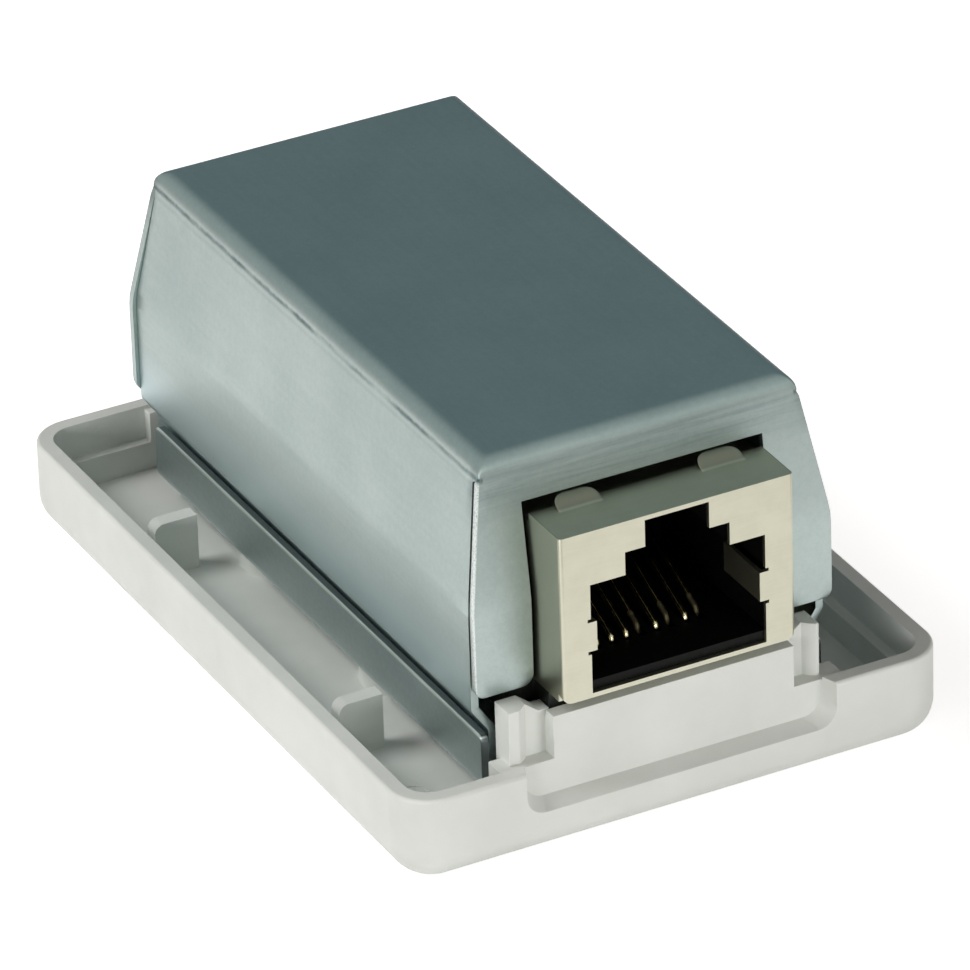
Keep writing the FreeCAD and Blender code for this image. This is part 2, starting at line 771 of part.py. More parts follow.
def build_jack_insert():
    """Black insert: plug cavity with latch steps, floor slots for the contacts."""
    body = new_body("jack_insert")
    half = d.jack_width / 2 - d.jack_sheet - d.insert_gap
    top = jack_top - d.collar_step - d.jack_sheet - d.insert_gap
    rear = jack_rear - d.jack_sheet - d.insert_gap
    lip_rear = panel_rear + d.insert_gap
    raised = board_top + d.jack_sheet + d.insert_gap
    add_prism(body, "Z", board_top, top, lambda s: draw_box(s, -half, half, insert_front, rear))
    cut_prism(body, "Z", board_top - 1, raised,
              lambda s: draw_box(s, -half - 1, half + 1, insert_front - 1, lip_rear))
    floor = board_top + d.socket_floor
    right, slot_half = socket_outline(d.socket_inset, floor)
    slot_top = top + 1
    left = [(-x, z) for x, z in reversed(right)]
    outline = right + [(slot_half, slot_top), (-slot_half, slot_top)] + left
    cavity_rear = insert_front + d.socket_depth
    cut_prism(body, "Y", insert_front - 1, cavity_rear - d.latch_slot_stop,
              lambda s: draw_outline(s, outline))
    step_half = d.latch_step_width / 2
    body_half = d.socket_width / 2 + d.socket_inset
    deep = [(body_half, floor), (body_half, socket_high), (step_half, socket_high),
            (step_half, step_high)]
    deep += [(-x, z) for x, z in reversed(deep)]
    cut_prism(body, "Y", insert_front, cavity_rear, lambda s: draw_outline(s, deep))
    # Room for the shell's side tabs
    tab_low = socket_low + d.tab_middle - d.tab_height / 2 - d.tab_relief
    tab_high = tab_low + d.tab_height + d.tab_relief * 2
    tab_half = d.socket_width / 2 + d.tab_relief * 2
    cut_prism(body, "Y", insert_front - 1, jack_front + d.tab_length + d.tab_relief,
              lambda s: draw_box(s, -tab_half, tab_half, tab_low, tab_high))

    def draw_slots(sketch):
        for index in range(8):
            x = contact_place(index)
            draw_box(sketch, x - d.contact_slot / 2, x + d.contact_slot / 2,
                     contact_front - d.contact_slot / 2, rear - d.contact_slot)
    cut_prism(body, "Z", board_top - 1, floor + d.insert_gap, draw_slots)
    return body


contact_front = jack_front + d.contact_setback


def contact_place(index):
    """X of one of the eight contacts."""
    return d.contact_pitch * (index - 3.5)


def pin_row(index):
    """Y of a contact's solder pin, in two staggered rows."""
    return jack_front + d.pin_row_depth + (index % 2) * d.pin_row_step


def build_jack_contact(index):
    """Contact: solder pin, run along the floor slot, nose, and blade that rises to the rear."""
    body = new_body(f"jack_contact_{index + 1}")
    wire = d.contact_width
    run_low = board_top + d.contact_lift
    run_high = run_low + wire
    nose_high = board_top + d.socket_floor + d.insert_gap
    front = contact_front
    tip_y = front + d.contact_length
    tip_z = nose_high + d.contact_rise
    pin = pin_row(index)
    pin_end = board_top - d.pin_length
    outline = [(pin - wire / 2, pin_end), (pin + wire / 2, pin_end),
               (pin + wire / 2, run_high), (front + wire, run_high), (front + wire, nose_high),
               (tip_y, tip_z), (tip_y, tip_z + wire), (front, nose_high + wire),
               (front, run_low), (pin - wire / 2, run_low)]
    x = contact_place(index)
    add_prism(body, "X", x - wire / 2, x + wire / 2, lambda s: draw_outline(s, outline))
    return body


# Board and wire blocks

def build_circuit_board():
    """Board with a nose between the posts, screw holes and pin holes."""
    body = new_body("circuit_board")
    nose_half = d.jack_width / 2 - d.board_nose_gap / 2
    nose_front = panel_front + d.plate_lip_depth + d.board_gap / 2
    shoulder = post_rear + d.board_gap * 2
    right = [(nose_half, nose_front), (nose_half, shoulder), (board_half, shoulder),
             (board_half, board_rear)]
    outline = right + [(-x, y) for x, y in reversed(right)]
    add_prism(body, "Z", board_bottom, board_top, lambda s: draw_outline(s, outline))

    def draw_screw_holes(sketch):
        for x, y in screw_places():
            draw_circle(sketch, x, y, d.screw_diameter + d.screw_clearance)
    cut_prism(body, "Z", board_bottom - 1, board_top + 1, draw_screw_holes)

    def draw_pin_holes(sketch):
        for index in range(8):
            draw_circle(sketch, contact_place(index), pin_row(index), d.pin_hole)
            x, y = fork_place(index)
            draw_circle(sketch, x, y, d.pin_hole)
    cut_prism(body, "Z", board_bottom - 1, board_top + 1, draw_pin_holes)
    return body


def fork_place(index):
    """Centre of one of the eight forked contacts: four on the left, four on the right."""
    side = -1 if index < 4 else 1
    row = index % 4
    middle_y = (block_front + block_rear) / 2
    return side * d.block_middle, middle_y + wire_pitch * (row - 1.5)


def build_idc_block(label, side):
    """Wire block: four slots across for the wires and four pockets for the forks."""
    body = new_body(label)
    centre = side * d.block_middle
    half = d.block_width / 2
    top = board_top + d.block_height
    add_prism(body, "Z", board_top, top,
              lambda s: draw_box(s, centre - half, centre + half, block_front, block_rear))

    def draw_wire_slots(sketch):
        slot = wire_pitch * d.wire_slot_share / 2
        low = top - d.wire_slot_depth
        for row in range(4):
            x, y = fork_place(row)
            draw_outline(sketch, [(y - slot, low), (y + slot, low), (y + slot, top - slot),
                                  (y + slot * 2, top + 1), (y - slot * 2, top + 1),
                                  (y - slot, top - slot)])
    cut_prism(body, "X", centre - half - 1, centre + half + 1, draw_wire_slots)

    def draw_pockets(sketch):
        wide = wire_pitch * d.fork_share / 2 + d.fork_gap
        thick = d.fork_sheet / 2 + d.fork_gap
        for row in range(4):
            x, y = fork_place(row)
            draw_box(sketch, centre - thick, centre + thick, y - wide, y + wide)
    cut_prism(body, "Z", board_top - 1, top - d.fork_headroom + d.fork_gap, draw_pockets)
    return body


def build_idc_contact(index):
    """Forked contact: two tines with a narrow slit, and a pin through the board."""
    body = new_body(f"idc_contact_{index + 1}")
    x, y = fork_place(index)
    half = wire_pitch * d.fork_share / 2
    slit = wire_pitch * d.fork_slit_share / 2
    pin = d.pin_hole / 2 - d.fork_gap * 2
    top = board_top + d.block_height - d.fork_headroom
    root = top - d.wire_slot_depth
    seat = board_top + d.fork_gap
    pin_end = board_top - d.pin_length
    lead_in = top - d.fork_headroom
    outline = [(y - pin, pin_end), (y + pin, pin_end), (y + pin, seat), (y + half, seat),
               (y + half, top), (y + slit * 3, top), (y + slit, lead_in), (y + slit, root),
               (y - slit, root), (y - slit, lead_in), (y - slit * 3, top), (y - half, top),
               (y - half, seat), (y - pin, seat)]
    add_prism(body, "X", x - d.fork_sheet / 2, x + d.fork_sheet / 2,
              lambda s: draw_outline(s, outline))
    return body


# Screws, spacers and cable clamp

def build_screw(label, x, y, seat, length):
    """Pan head screw with a cross recess; the head sits on seat and the shank goes down."""
    body = new_body(label)
    head = seat + d.screw_head_height
    add_prism(body, "Z", seat, head, lambda s: draw_circle(s, x, y, d.screw_head))
    add_prism(body, "Z", seat - length, seat, lambda s: draw_circle(s, x, y, d.screw_diameter))
    round_edges(body, d.screw_head_height / 2, lambda e: near(e.BoundBox.ZMin, head))
    for wide, deep in ((d.cross_length, d.cross_width), (d.cross_width, d.cross_length)):
        cut_prism(body, "Z", head - d.cross_depth, head + 1,
                  lambda s: draw_box(s, x - wide / 2, x + wide / 2, y - deep / 2, y + deep / 2))
    return body


def build_spacer(label, x, y):
    """Tubular spacer between the channel and the board."""
    body = new_body(label)
    add_prism(body, "Z", web_top, board_bottom, lambda s: draw_circle(s, x, y, d.spacer_diameter))
    cut_prism(body, "Z", web_top - 1, board_bottom + 1,
              lambda s: draw_circle(s, x, y, d.screw_diameter + d.screw_clearance))
    return body


def clamp_screw_places():
    """Centres of the two clamp screws."""
    y = (clamp_front + clamp_rear) / 2
    x = d.cable_diameter / 2 + d.sheet + d.clamp_foot / 2
    return [(-x, y), (x, y)]


def build_cable_clamp():
    """Saddle of sheet steel over the cable, with two feet on the channel."""
    body = new_body("cable_clamp")
    inner = d.cable_diameter / 2
    outer = inner + d.sheet
    foot = outer + d.clamp_foot
    add_prism(body, "Y", clamp_front, clamp_rear,
              lambda s: draw_box(s, -foot, foot, web_top, web_top + d.sheet))
    add_prism(body, "Y", clamp_front, clamp_rear,
              lambda s: draw_circle(s, ZERO, cable_level, outer * 2))
    add_prism(body, "Y", clamp_front, clamp_rear,
              lambda s: draw_box(s, -outer, outer, web_top, cable_level))
    cut_prism(body, "Y", clamp_front - 1, clamp_rear + 1,
              lambda s: draw_circle(s, ZERO, cable_level, inner * 2))
    cut_prism(body, "Y", clamp_front - 1, clamp_rear + 1,
              lambda s: draw_box(s, -inner, inner, web_top - 1, cable_level))

    def draw_holes(sketch):
        for x, y in clamp_screw_places():
            draw_circle(sketch, x, y, d.screw_diameter + d.screw_clearance)
    cut_prism(body, "Z", web_top - 1, web_top + d.sheet + 1, draw_holes)
    return body


# Assembly

parts = [build_base_tray(), build_shield_tray(), build_shield_cover()]
parts += [build_jack_shield(), build_jack_insert()]
parts += [build_jack_contact(index) for index in range(8)]
parts.append(build_circuit_board())
parts += [build_idc_block("idc_block_left", -1), build_idc_block("idc_block_right", 1)]
parts += [build_idc_contact(index) for index in range(8)]
board_screw_length = d.board_thickness + d.spacer_height + d.sheet + d.screw_bite - d.screw_clearance
for number, (x, y) in enumerate(screw_places(), start=1):
    parts.append(build_spacer(f"board_spacer_{number}", x, y))
    parts.append(build_screw(f"board_screw_{number}", x, y, board_top, board_screw_length))
parts.append(build_cable_clamp())
clamp_screw_length = d.sheet * 2 + d.clamp_screw_bite
for number, (x, y) in enumerate(clamp_screw_places(), start=1):
    parts.append(build_screw(f"clamp_screw_{number}", x, y, web_top + d.sheet, clamp_screw_length))
document.recompute()

# Every object has to be sound before anything is written
for item in document.Objects:
    if "Invalid" in item.State or "Error" in item.State:
        raise RuntimeError(f"{item.Label} did not build: {item.State}")
for item in parts:
    if item.Shape.isNull() or not item.Shape.isValid():
        raise RuntimeError(f"{item.Label} has no sound shape")
    if len(item.Shape.Solids) != 1:
        raise RuntimeError(f"{item.Label} has {len(item.Shape.Solids)} solids")

os.makedirs("parts", exist_ok=True)
for item in parts:
    item.Shape.exportStep(f"parts/{item.Label}.step")
    box = item.Shape.BoundBox
    print(f"{item.Label}: {box.XLength:.2f} x {box.YLength:.2f} x {box.ZLength:.2f} mm, "
          f"{item.Shape.Volume:.2f} mm3")
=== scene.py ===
# %% [markdown]
# # A shielded surface mount jack box, dressed for a photograph
# The packed solids are the frame of this scene. They are exact, but they are made of loose
# triangles and carry one plain colour each. This lesson keeps the ones whose shape is right and
# gives them a finish, and computes new surfaces for the folded sheets and the contact wires.
# Lengths are in mm unless a comment says otherwise. The jack looks towards -Y, and Z is up.

# %% Load the frame
import math
import bmesh
import bpy
import numpy as np
from mathutils import Matrix, Vector


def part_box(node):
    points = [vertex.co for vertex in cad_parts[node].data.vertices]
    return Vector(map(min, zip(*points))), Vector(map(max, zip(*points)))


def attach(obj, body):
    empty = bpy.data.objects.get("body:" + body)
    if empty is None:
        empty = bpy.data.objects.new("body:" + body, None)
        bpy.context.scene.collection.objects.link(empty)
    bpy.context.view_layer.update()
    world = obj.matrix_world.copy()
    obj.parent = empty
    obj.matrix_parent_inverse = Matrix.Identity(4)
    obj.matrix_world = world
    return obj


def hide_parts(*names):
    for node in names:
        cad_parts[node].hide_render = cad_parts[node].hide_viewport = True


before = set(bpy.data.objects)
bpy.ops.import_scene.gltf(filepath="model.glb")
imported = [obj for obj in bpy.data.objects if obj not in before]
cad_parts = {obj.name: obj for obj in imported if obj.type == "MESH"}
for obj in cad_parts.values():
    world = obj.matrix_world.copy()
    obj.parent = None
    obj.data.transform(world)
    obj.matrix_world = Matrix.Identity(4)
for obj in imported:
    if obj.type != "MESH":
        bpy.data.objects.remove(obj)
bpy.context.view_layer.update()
MM = 0.001

# %% [markdown]
# ## Camera
# The picture was taken from the front left with a long lens, so the box shows hardly any
# perspective. The camera could be placed by hand and nudged; instead its place and its three axes
# are written down as they came out of fitting the box's corners, so every run gives one view.

# %% Camera
EYE = Vector((-223.72, -444.44, 290.63)) * MM
TO_RIGHT = Vector((0.8847, -0.4652, -0.0288))
TO_BELOW = Vector((-0.2511, -0.4235, -0.8704))
SENSOR = 36.0
FRAME_PIXELS = 970
FOCAL_PIXELS = 9168.0
NEAREST = 0.01          # metres

right = TO_RIGHT.normalized()
back = right.cross(-TO_BELOW).normalized()
up = back.cross(right)
lens = bpy.data.cameras.new("camera")
lens.sensor_width = SENSOR
lens.lens = FOCAL_PIXELS * SENSOR / FRAME_PIXELS
lens.clip_start = NEAREST
camera = bpy.data.objects.new("camera", lens)
bpy.context.scene.collection.objects.link(camera)
camera.matrix_world = Matrix.Translation(EYE) @ Matrix((right, up, back)).transposed().to_4x4()
bpy.context.scene.camera = camera
print("lens:", round(lens.lens, 1), "mm, looking along", [round(-v, 3) for v in back])

# %% [markdown]
# ## Shader maths as Python
# A material is a graph of nodes. Wiring it by hand hides the formula, so `Port` wraps one socket
# and answers to + - * and abs: each adds a Math node. Masks are numbers from 0 to 1, and `rise`
# makes one from a span: it is 0 at the span's first value and 1 at its second.

# %% Ports
class Port:
    """One output socket; arithmetic on it adds Math nodes to its recipe."""

    def __init__(self, recipe, socket):
        self.recipe = recipe
        self.socket = socket

    def maths(self, operation, first, second=0.0):
        """A Math node on one or two values, either of which may be a port."""
        return self.recipe.add("Math", {"operation": operation}, {0: first, 1: second})

    def __add__(self, other):
        return self.maths("ADD", self, other)

    def __sub__(self, other):
        return self.maths("SUBTRACT", self, other)

    def __mul__(self, other):
        return self.maths("MULTIPLY", self, other)

    def __radd__(self, other):
        return self.maths("ADD", other, self)

    def __rsub__(self, other):
        return self.maths("SUBTRACT", other, self)

    def __rmul__(self, other):
        return self.maths("MULTIPLY", other, self)

    def __abs__(self):
        return self.maths("ABSOLUTE", self)

    def most(self, other):
        """The greater of the two."""
        return self.maths("MAXIMUM", self, other)

    def rise(self, zero, one):
        """0 at zero, 1 at one, and a smooth step between; one may be the lower value."""
        low, high = sorted((zero, one))
        step = self.recipe.add("MapRange", {"interpolation_type": "SMOOTHSTEP"},
                               {"Value": self, "From Min": low, "From Max": high})
        return step if zero < one else 1.0 - step


print("a port has", sum(callable(way) for way in vars(Port).values()), "methods")

# %% [markdown]
# ## Recipes
# All other nodes come from one method, `add`, which takes a node's type, its settings and its
# inputs. The rest of `Recipe` are short names for the nodes that finishes use most, so that a
# material reads as a formula from the place on the piece to its colour, roughness and bump.

# %% Recipes
MIX_SHARE, MIX_FIRST, MIX_SECOND, MIX_RESULT = 0, 6, 7, 2      # a Mix node's colour sockets


class Recipe:
    """A material, or the world, as a list of nodes that are added by formula."""

    def __init__(self, holder):
        holder.use_nodes = True
        self.holder = holder
        self.tree = holder.node_tree
        self.tree.nodes.clear()

    def add(self, kind, settings=None, inputs=None, out=0):
        """A node of any type: its settings first, then values or links for its sockets."""
        node = self.tree.nodes.new("ShaderNode" + kind)
        for key, value in (settings or {}).items():
            setattr(node, key, value)
        for key, value in (inputs or {}).items():
            if isinstance(value, Port):
                self.tree.links.new(value.socket, node.inputs[key])
            else:
                node.inputs[key].default_value = value
        return Port(self, node.outputs[out]) if node.outputs else None

    def blend(self, share, first, second):
        """Colour between first and second by share."""
        return self.add("Mix", {"data_type": "RGBA"},
                        {MIX_SHARE: share, MIX_FIRST: first, MIX_SECOND: second}, MIX_RESULT)

    def place(self):
        """The point on the piece in mm, from its Object coordinates."""
        spot = self.add("TexCoord", out="Object")
        return self.add("VectorMath", {"operation": "SCALE"}, {0: spot, "Scale": 1 / MM})

    def axes(self, spot):
        """The point's x, y and z."""
        first = self.add("SeparateXYZ", inputs={0: spot})
        return [Port(self, socket) for socket in first.socket.node.outputs]

    def stretch(self, spot, scale):
        """The point with each axis multiplied, for a grain that runs along one of them."""
        return self.add("VectorMath", {"operation": "MULTIPLY"}, {0: spot, 1: scale})

    def noise(self, spot, scale, detail=3.0, roughness=0.55):
        """Cloudy noise around 0.5; scale is in features per mm."""
        return self.add("TexNoise", None, {"Vector": spot, "Scale": scale, "Detail": detail,
                                           "Roughness": roughness})

    def bump(self, height):
        """A normal tilted by a height in mm."""
        return self.add("Bump", None, {"Height": height, "Distance": MM, "Strength": 1.0})

    def surface(self, **sockets):
        """The finishing shader, wired to the output."""
        names = {key: key.replace("_", " ").title().replace("Ior", "IOR") for key in sockets}
        shader = self.add("BsdfPrincipled", None, {names[key]: sockets[key] for key in sockets})
        self.add("OutputMaterial", None, {"Surface": shader})
        return self.holder


def start(name):
    """An empty recipe for a new material."""
    return Recipe(bpy.data.materials.new(name))


print("a blend takes sockets", MIX_SHARE, MIX_FIRST, "and", MIX_SECOND)

# %% [markdown]
# ## Colours
# Colours are judged on a screen, from 0 to 255, but shaders count light. They could be typed in as
# linear numbers, which say little to the eye, so `srgb` converts them.

# %% Colours
def srgb(red, green, blue, alpha=1.0):
    """Screen colour 0 to 255 as linear light, by the sRGB curve: straight, then a power."""
    parts = np.array([red, green, blue]) / 255
    linear = np.where(parts <= 0.04045, parts / 12.92, ((parts + 0.055) / 1.055) ** 2.4)
    return (*linear.tolist(), alpha)


print("screen grey 128 is", round(srgb(128, 128, 128)[0], 3), "in linear light")

# %% [markdown]
# ## Floor
# The object stands on a small table of plain white card. To the camera the card is white all over;
# in mirror-like reflections it is white near the object and darker further off, which is what
# shades the steel towards its bends. A strong lamp on the floor would whiten it too, but would wash
# out the object, so the white comes from a glow that only the camera and reflections see, and a
# matt card under it still takes a faint shadow.

# %% Floor
FLOOR_HALF = 3.0        # metres
FLOOR_GAP = 0.00002     # metres under the base, so that the two flat faces don't coincide
CARD_WHITE = (0.87, 0.87, 0.86, 1)
WHITE = (1, 1, 1, 1)
GLOW_SEEN = 0.7
GLOW_MIRRORED = 0.63
CARD_NEAR = 92.0
CARD_FAR = 128.0

floor_points = np.array([(-1, -1, 0), (1, -1, 0), (1, 1, 0), (-1, 1, 0)]) * FLOOR_HALF
floor_points[:, 2] = -FLOOR_GAP
floor_mesh = bpy.data.meshes.new("floor")
floor_mesh.from_pydata(floor_points.tolist(), [], [(0, 1, 2, 3)])
floor = bpy.data.objects.new("floor", floor_mesh)
bpy.context.scene.collection.objects.link(floor)

card = start("white_card")
distance = card.add("VectorMath", {"operation": "LENGTH"}, {0: card.place()}, "Value")
seen = card.add("LightPath", out="Is Camera Ray")
mirrored = card.add("LightPath", out="Is Glossy Ray")
matt = card.add("BsdfDiffuse", None, {"Color": CARD_WHITE})
glowing = (GLOW_SEEN * seen).most(GLOW_MIRRORED * mirrored * distance.rise(CARD_FAR, CARD_NEAR))
glow = card.add("Emission", None, {"Color": WHITE, "Strength": glowing})
card.add("OutputMaterial", None, {"Surface": card.add("AddShader", None, {0: matt, 1: glow})})
floor_mesh.materials.append(card.holder)
print("floor:", 2 * FLOOR_HALF, "m square")

# %% [markdown]
# ## Sky
# Steel mirrors whatever is round it. One bright even sky would be simpler, but it flattens the
# folded sheet and leaves no shading inside the tray. So the sky that reflections see is a soft
# gradient, dim at the right and rear, with one small window in front: that turns the steel top
# slate grey and keeps the sides pale. Matt surfaces get an even, weaker sky; the camera sees white.

# %% Sky
SKY_LIGHT = (0.53, 0.585, 0.575, 1)
SKY_DIM = (0.165, 0.225, 0.25, 1)
SKY_ON_MATT = (0.188, 0.163, 0.154, 1)
TOWARDS_LIGHT = (-1.0, -0.8, 0.0)
LIGHT_SPAN = (-0.95, -0.15)
WINDOW = (5.0, 4.9, 4.6, 1)
TOWARDS_WINDOW = (-0.1, -0.92, 0.38)
WINDOW_EDGE = (0.972, 0.985)

world = bpy.data.worlds.new("studio")
bpy.context.scene.world = world
sky = Recipe(world)
direction = sky.add("TexCoord", out=0)      # in a world, output 0 is the direction
facing = sky.add("VectorMath", {"operation": "DOT_PRODUCT"},
                 {0: direction, 1: TOWARDS_LIGHT}, "Value")
glossy_sky = sky.blend(facing.rise(*LIGHT_SPAN), SKY_DIM, SKY_LIGHT)
facing = sky.add("VectorMath", {"operation": "DOT_PRODUCT"},
                 {0: direction, 1: TOWARDS_WINDOW}, "Value")
glossy_sky = sky.blend(facing.rise(*WINDOW_EDGE), glossy_sky, WINDOW)
soft_sky = sky.blend(sky.add("LightPath", out="Is Glossy Ray"), SKY_ON_MATT, glossy_sky)
backdrop = sky.blend(sky.add("LightPath", out="Is Camera Ray"), soft_sky, WHITE)
light = sky.add("Background", None, {"Color": backdrop, "Strength": 1.0})
sky.add("OutputWorld", None, {"Surface": light})
print("sky:", len(sky.tree.nodes), "nodes")

# %% [markdown]
# ## Lamps
# Three soft boxes light the object: low ones at the left and front, and one above at the rear left.
# Small bright lamps would be easier to aim, but they leave hard spots on satin steel. Only the left
# box shows in reflections; the other two would draw bright bars on the cover.

# %% Lamps
CENTRE = Vector((0.0, 0.0, 0.012))      # metres


def softbox(name, place, size, watts, mirrored):
    """A rectangular area lamp at place, turned at the object; mirrored: it shows in reflections."""
    lamp = bpy.data.lights.new(name, "AREA")
    lamp.shape = "RECTANGLE"
    lamp.size, lamp.size_y = size
    lamp.energy = watts
    box = bpy.data.objects.new(name, lamp)
    box.visible_glossy = mirrored
    box.location = place
    box.rotation_euler = (CENTRE - Vector(place)).to_track_quat("-Z", "Y").to_euler()
    bpy.context.scene.collection.objects.link(box)
    print(name, "lamp:", watts, "W")


softbox("left", place=(-0.75, -0.45, 0.14), size=(0.6, 0.22), watts=2.5, mirrored=True)
softbox("front", place=(0.33, -0.82, 0.14), size=(0.5, 0.22), watts=3.4, mirrored=False)
softbox("overhead", place=(-0.55, 0.22, 0.68), size=(0.4, 0.4), watts=4.4, mirrored=False)
bpy.context.scene.view_settings.view_transform = "Standard"

# %% [markdown]
# ## Rounded paths
# Folded sheet and bent wire never have a sharp corner. A Bevel modifier rounds corners too, but all
# by one rule and only after the mesh is made. `rounded_path` works the arcs out beforehand, each
# with its own radius, so that a profile's points lie exactly on them.

# %% Rounded paths
def rounded_path(corners, radii, steps=7):
    """Points along straight runs joined by arcs.

    At a corner P, a and b are the unit directions to its neighbours and h is half the angle
    between them. The arc of radius r starts r / tan(h) before P, and its centre lies r / sin(h)
    from P on the bisector. A point on it is centre + (sin((1-t)w) u + sin(tw) v) / sin(w), where u
    and v go from the centre to the arc's two ends, w apart.
    """
    corners = np.asarray(corners, float)
    pieces = [corners[:1]]
    for before, corner, after, radius in zip(corners, corners[1:], corners[2:], radii):
        a = (before - corner) / np.linalg.norm(before - corner)
        b = (after - corner) / np.linalg.norm(after - corner)
        half = np.arccos(np.clip(a @ b, -1, 1)) / 2
        bisector = (a + b) / np.linalg.norm(a + b)
        centre = corner + bisector * radius / np.sin(half)
        u = corner + a * radius / np.tan(half) - centre
        v = corner + b * radius / np.tan(half) - centre
        w = np.arccos(np.clip(u @ v / radius ** 2, -1, 1))
        t = np.linspace(0, 1, steps)[:, None]
        pieces.append(centre + (np.sin((1 - t) * w) * u + np.sin(t * w) * v) / np.sin(w))
    pieces.append(corners[-1:])
    return np.concatenate(pieces)


print("a bend of radius 1:", rounded_path([(0, 2), (0, 0), (2, 0)], [1], 3).round(2).tolist())

# %% [markdown]
# ## Meshes from arrays
# Every new piece is a surface over a grid of two parameters. It could be modelled by moving points
# about, but a formula can be read, checked and changed. `grid_faces` joins a grid's points into
# quads, and `Shell` collects several grids into one mesh, whose coinciding points are then welded.

# %% Grids
def grid_faces(rows, columns, wrap=False):
    """Quads of a grid: face (i, j) joins points (i, j), (i, j+1), (i+1, j+1) and (i+1, j)."""
    index = np.arange(rows * columns).reshape(rows, columns)
    if wrap:
        index = np.concatenate([index, index[:, :1]], axis=1)
    quads = np.stack([index[:-1, :-1], index[:-1, 1:], index[1:, 1:], index[1:, :-1]], axis=-1)
    return quads.reshape(-1, 4)


class Shell:
    """Grids of points in mm, gathered into one mesh."""

    def __init__(self):
        self.points = []
        self.faces = []
        self.count = 0

    def sheet(self, x, y, z, flip=False, wrap=False):
        """Add the surface whose point (i, j) is (x, y, z)[i, j]."""
        x, y, z = np.broadcast_arrays(x, y, z)
        faces = grid_faces(*x.shape, wrap)
        if flip:
            faces = faces[:, ::-1]
        self.points.append(np.stack([x, y, z], axis=-1).reshape(-1, 3))
        self.faces += (faces + self.count).tolist()
        self.count += x.size

    def lid(self, x, y, z):
        """Add one flat face round the given loop of points."""
        self.points.append(np.stack(np.broadcast_arrays(x, y, z), axis=-1))
        self.faces.append(list(range(self.count, self.count + len(x))))
        self.count += len(x)

    def build(self, name, material, weld=0.002):
        """The finished object, at the origin, with shared points welded."""
        mesh = bpy.data.meshes.new(name)
        points = np.concatenate(self.points) * MM
        mesh.from_pydata(points.tolist(), [], self.faces)
        return finish_mesh(name, mesh, material, weld)


print("a grid of 3 by 4 points has", len(grid_faces(3, 4)), "quads")

# %% [markdown]
# ## Finishing a mesh
# A real part has no knife edges, and its flat faces shade flat. Smooth shading alone would smear
# the light round every corner. So `finish_mesh` welds and shades a mesh, `soften` rounds its sharp
# edges by a few hundredths and weights the normals towards the large faces, and `thicken` gives a
# computed skin the sheet's wall.

# %% Finishing helpers
BEVEL_RINGS = 2


def finish_mesh(name, mesh, material, weld, flatten=0.0):
    """Weld points closer than weld, join faces within flatten degrees, and link the mesh."""
    cells = bmesh.new()
    cells.from_mesh(mesh)
    bmesh.ops.remove_doubles(cells, verts=cells.verts, dist=weld * MM)
    if flatten:
        bmesh.ops.dissolve_limit(cells, angle_limit=math.radians(flatten),
                                 verts=cells.verts, edges=cells.edges)
    cells.to_mesh(mesh)
    cells.free()
    mesh.polygons.foreach_set("use_smooth", [True] * len(mesh.polygons))
    mesh.materials.clear()
    mesh.materials.append(material)
    piece = bpy.data.objects.new(name, mesh)
    bpy.context.scene.collection.objects.link(piece)
    print(name + ":", len(mesh.vertices), "points,", len(mesh.polygons), "faces")
    return piece


def soften(piece, edge, angle=40):
    """Round the edges that turn by more than the angle, and keep flat faces flat."""
    bevel = piece.modifiers.new("edges", "BEVEL")
    bevel.width = edge * MM
    bevel.segments = BEVEL_RINGS
    bevel.limit_method = "ANGLE"
    bevel.angle_limit = math.radians(angle)
    weighted = piece.modifiers.new("normals", "WEIGHTED_NORMAL")
    weighted.keep_sharp = True


def thicken(piece, sheet, edge=0.06):
    """Give a skin the sheet's thickness inwards, and break its cut edges."""
    wall = piece.modifiers.new("wall", "SOLIDIFY")
    wall.thickness = sheet * MM
    wall.offset = -1
    wall.use_even_offset = True
    soften(piece, edge)


print("broken edges have", BEVEL_RINGS, "rings")

# %% [markdown]
# ## Zinc-plated steel
# The cover and the channel are thin steel sheet with a dull zinc plating. Close up it has a fine
# mottled grain and faint lines from the rolling mill along the sheet. A plain grey metal would do
# from afar, but it looks like paint. So four noises, from fine grain to wide clouds, add up to one
# share, and colour, roughness and a very shallow bump all follow it.

# %% Plated sheet
MOTTLES = 2.4           # features per mm
GRAINS = 11.0
CLOUDS = 0.12
MILL_LINES = (3.0, 0.12, 3.0)
PLATING_SPAN = (0.5, 1.12)
ZINC_SATIN = 0.33


def plated(steel, spot, pale, dark):
    """Plating between two colours: its tone, a height in mm, and the share between the colours.

    The share is a weighted sum of mottle, grain, cloud and mill lines, and the height is a sum of
    a few thousandths of mottle, grain and mill lines.
    """
    mottle = steel.noise(spot, MOTTLES, detail=5.0, roughness=0.65)
    grain = steel.noise(spot, GRAINS, detail=2.0)
    cloud = steel.noise(spot, CLOUDS, detail=2.0)
    mill = steel.noise(steel.stretch(spot, MILL_LINES), 1.0, detail=2.0)
    share = mottle * 0.45 + grain * 0.35 + cloud * 0.6 + mill * 0.2
    height = mottle * 0.004 + grain * 0.003 + mill * 0.004
    return steel.blend(share.rise(*PLATING_SPAN), pale, dark), height, share


print("plating: grain of", round(1 / GRAINS, 2), "mm, clouds of", round(1 / CLOUDS, 1), "mm")
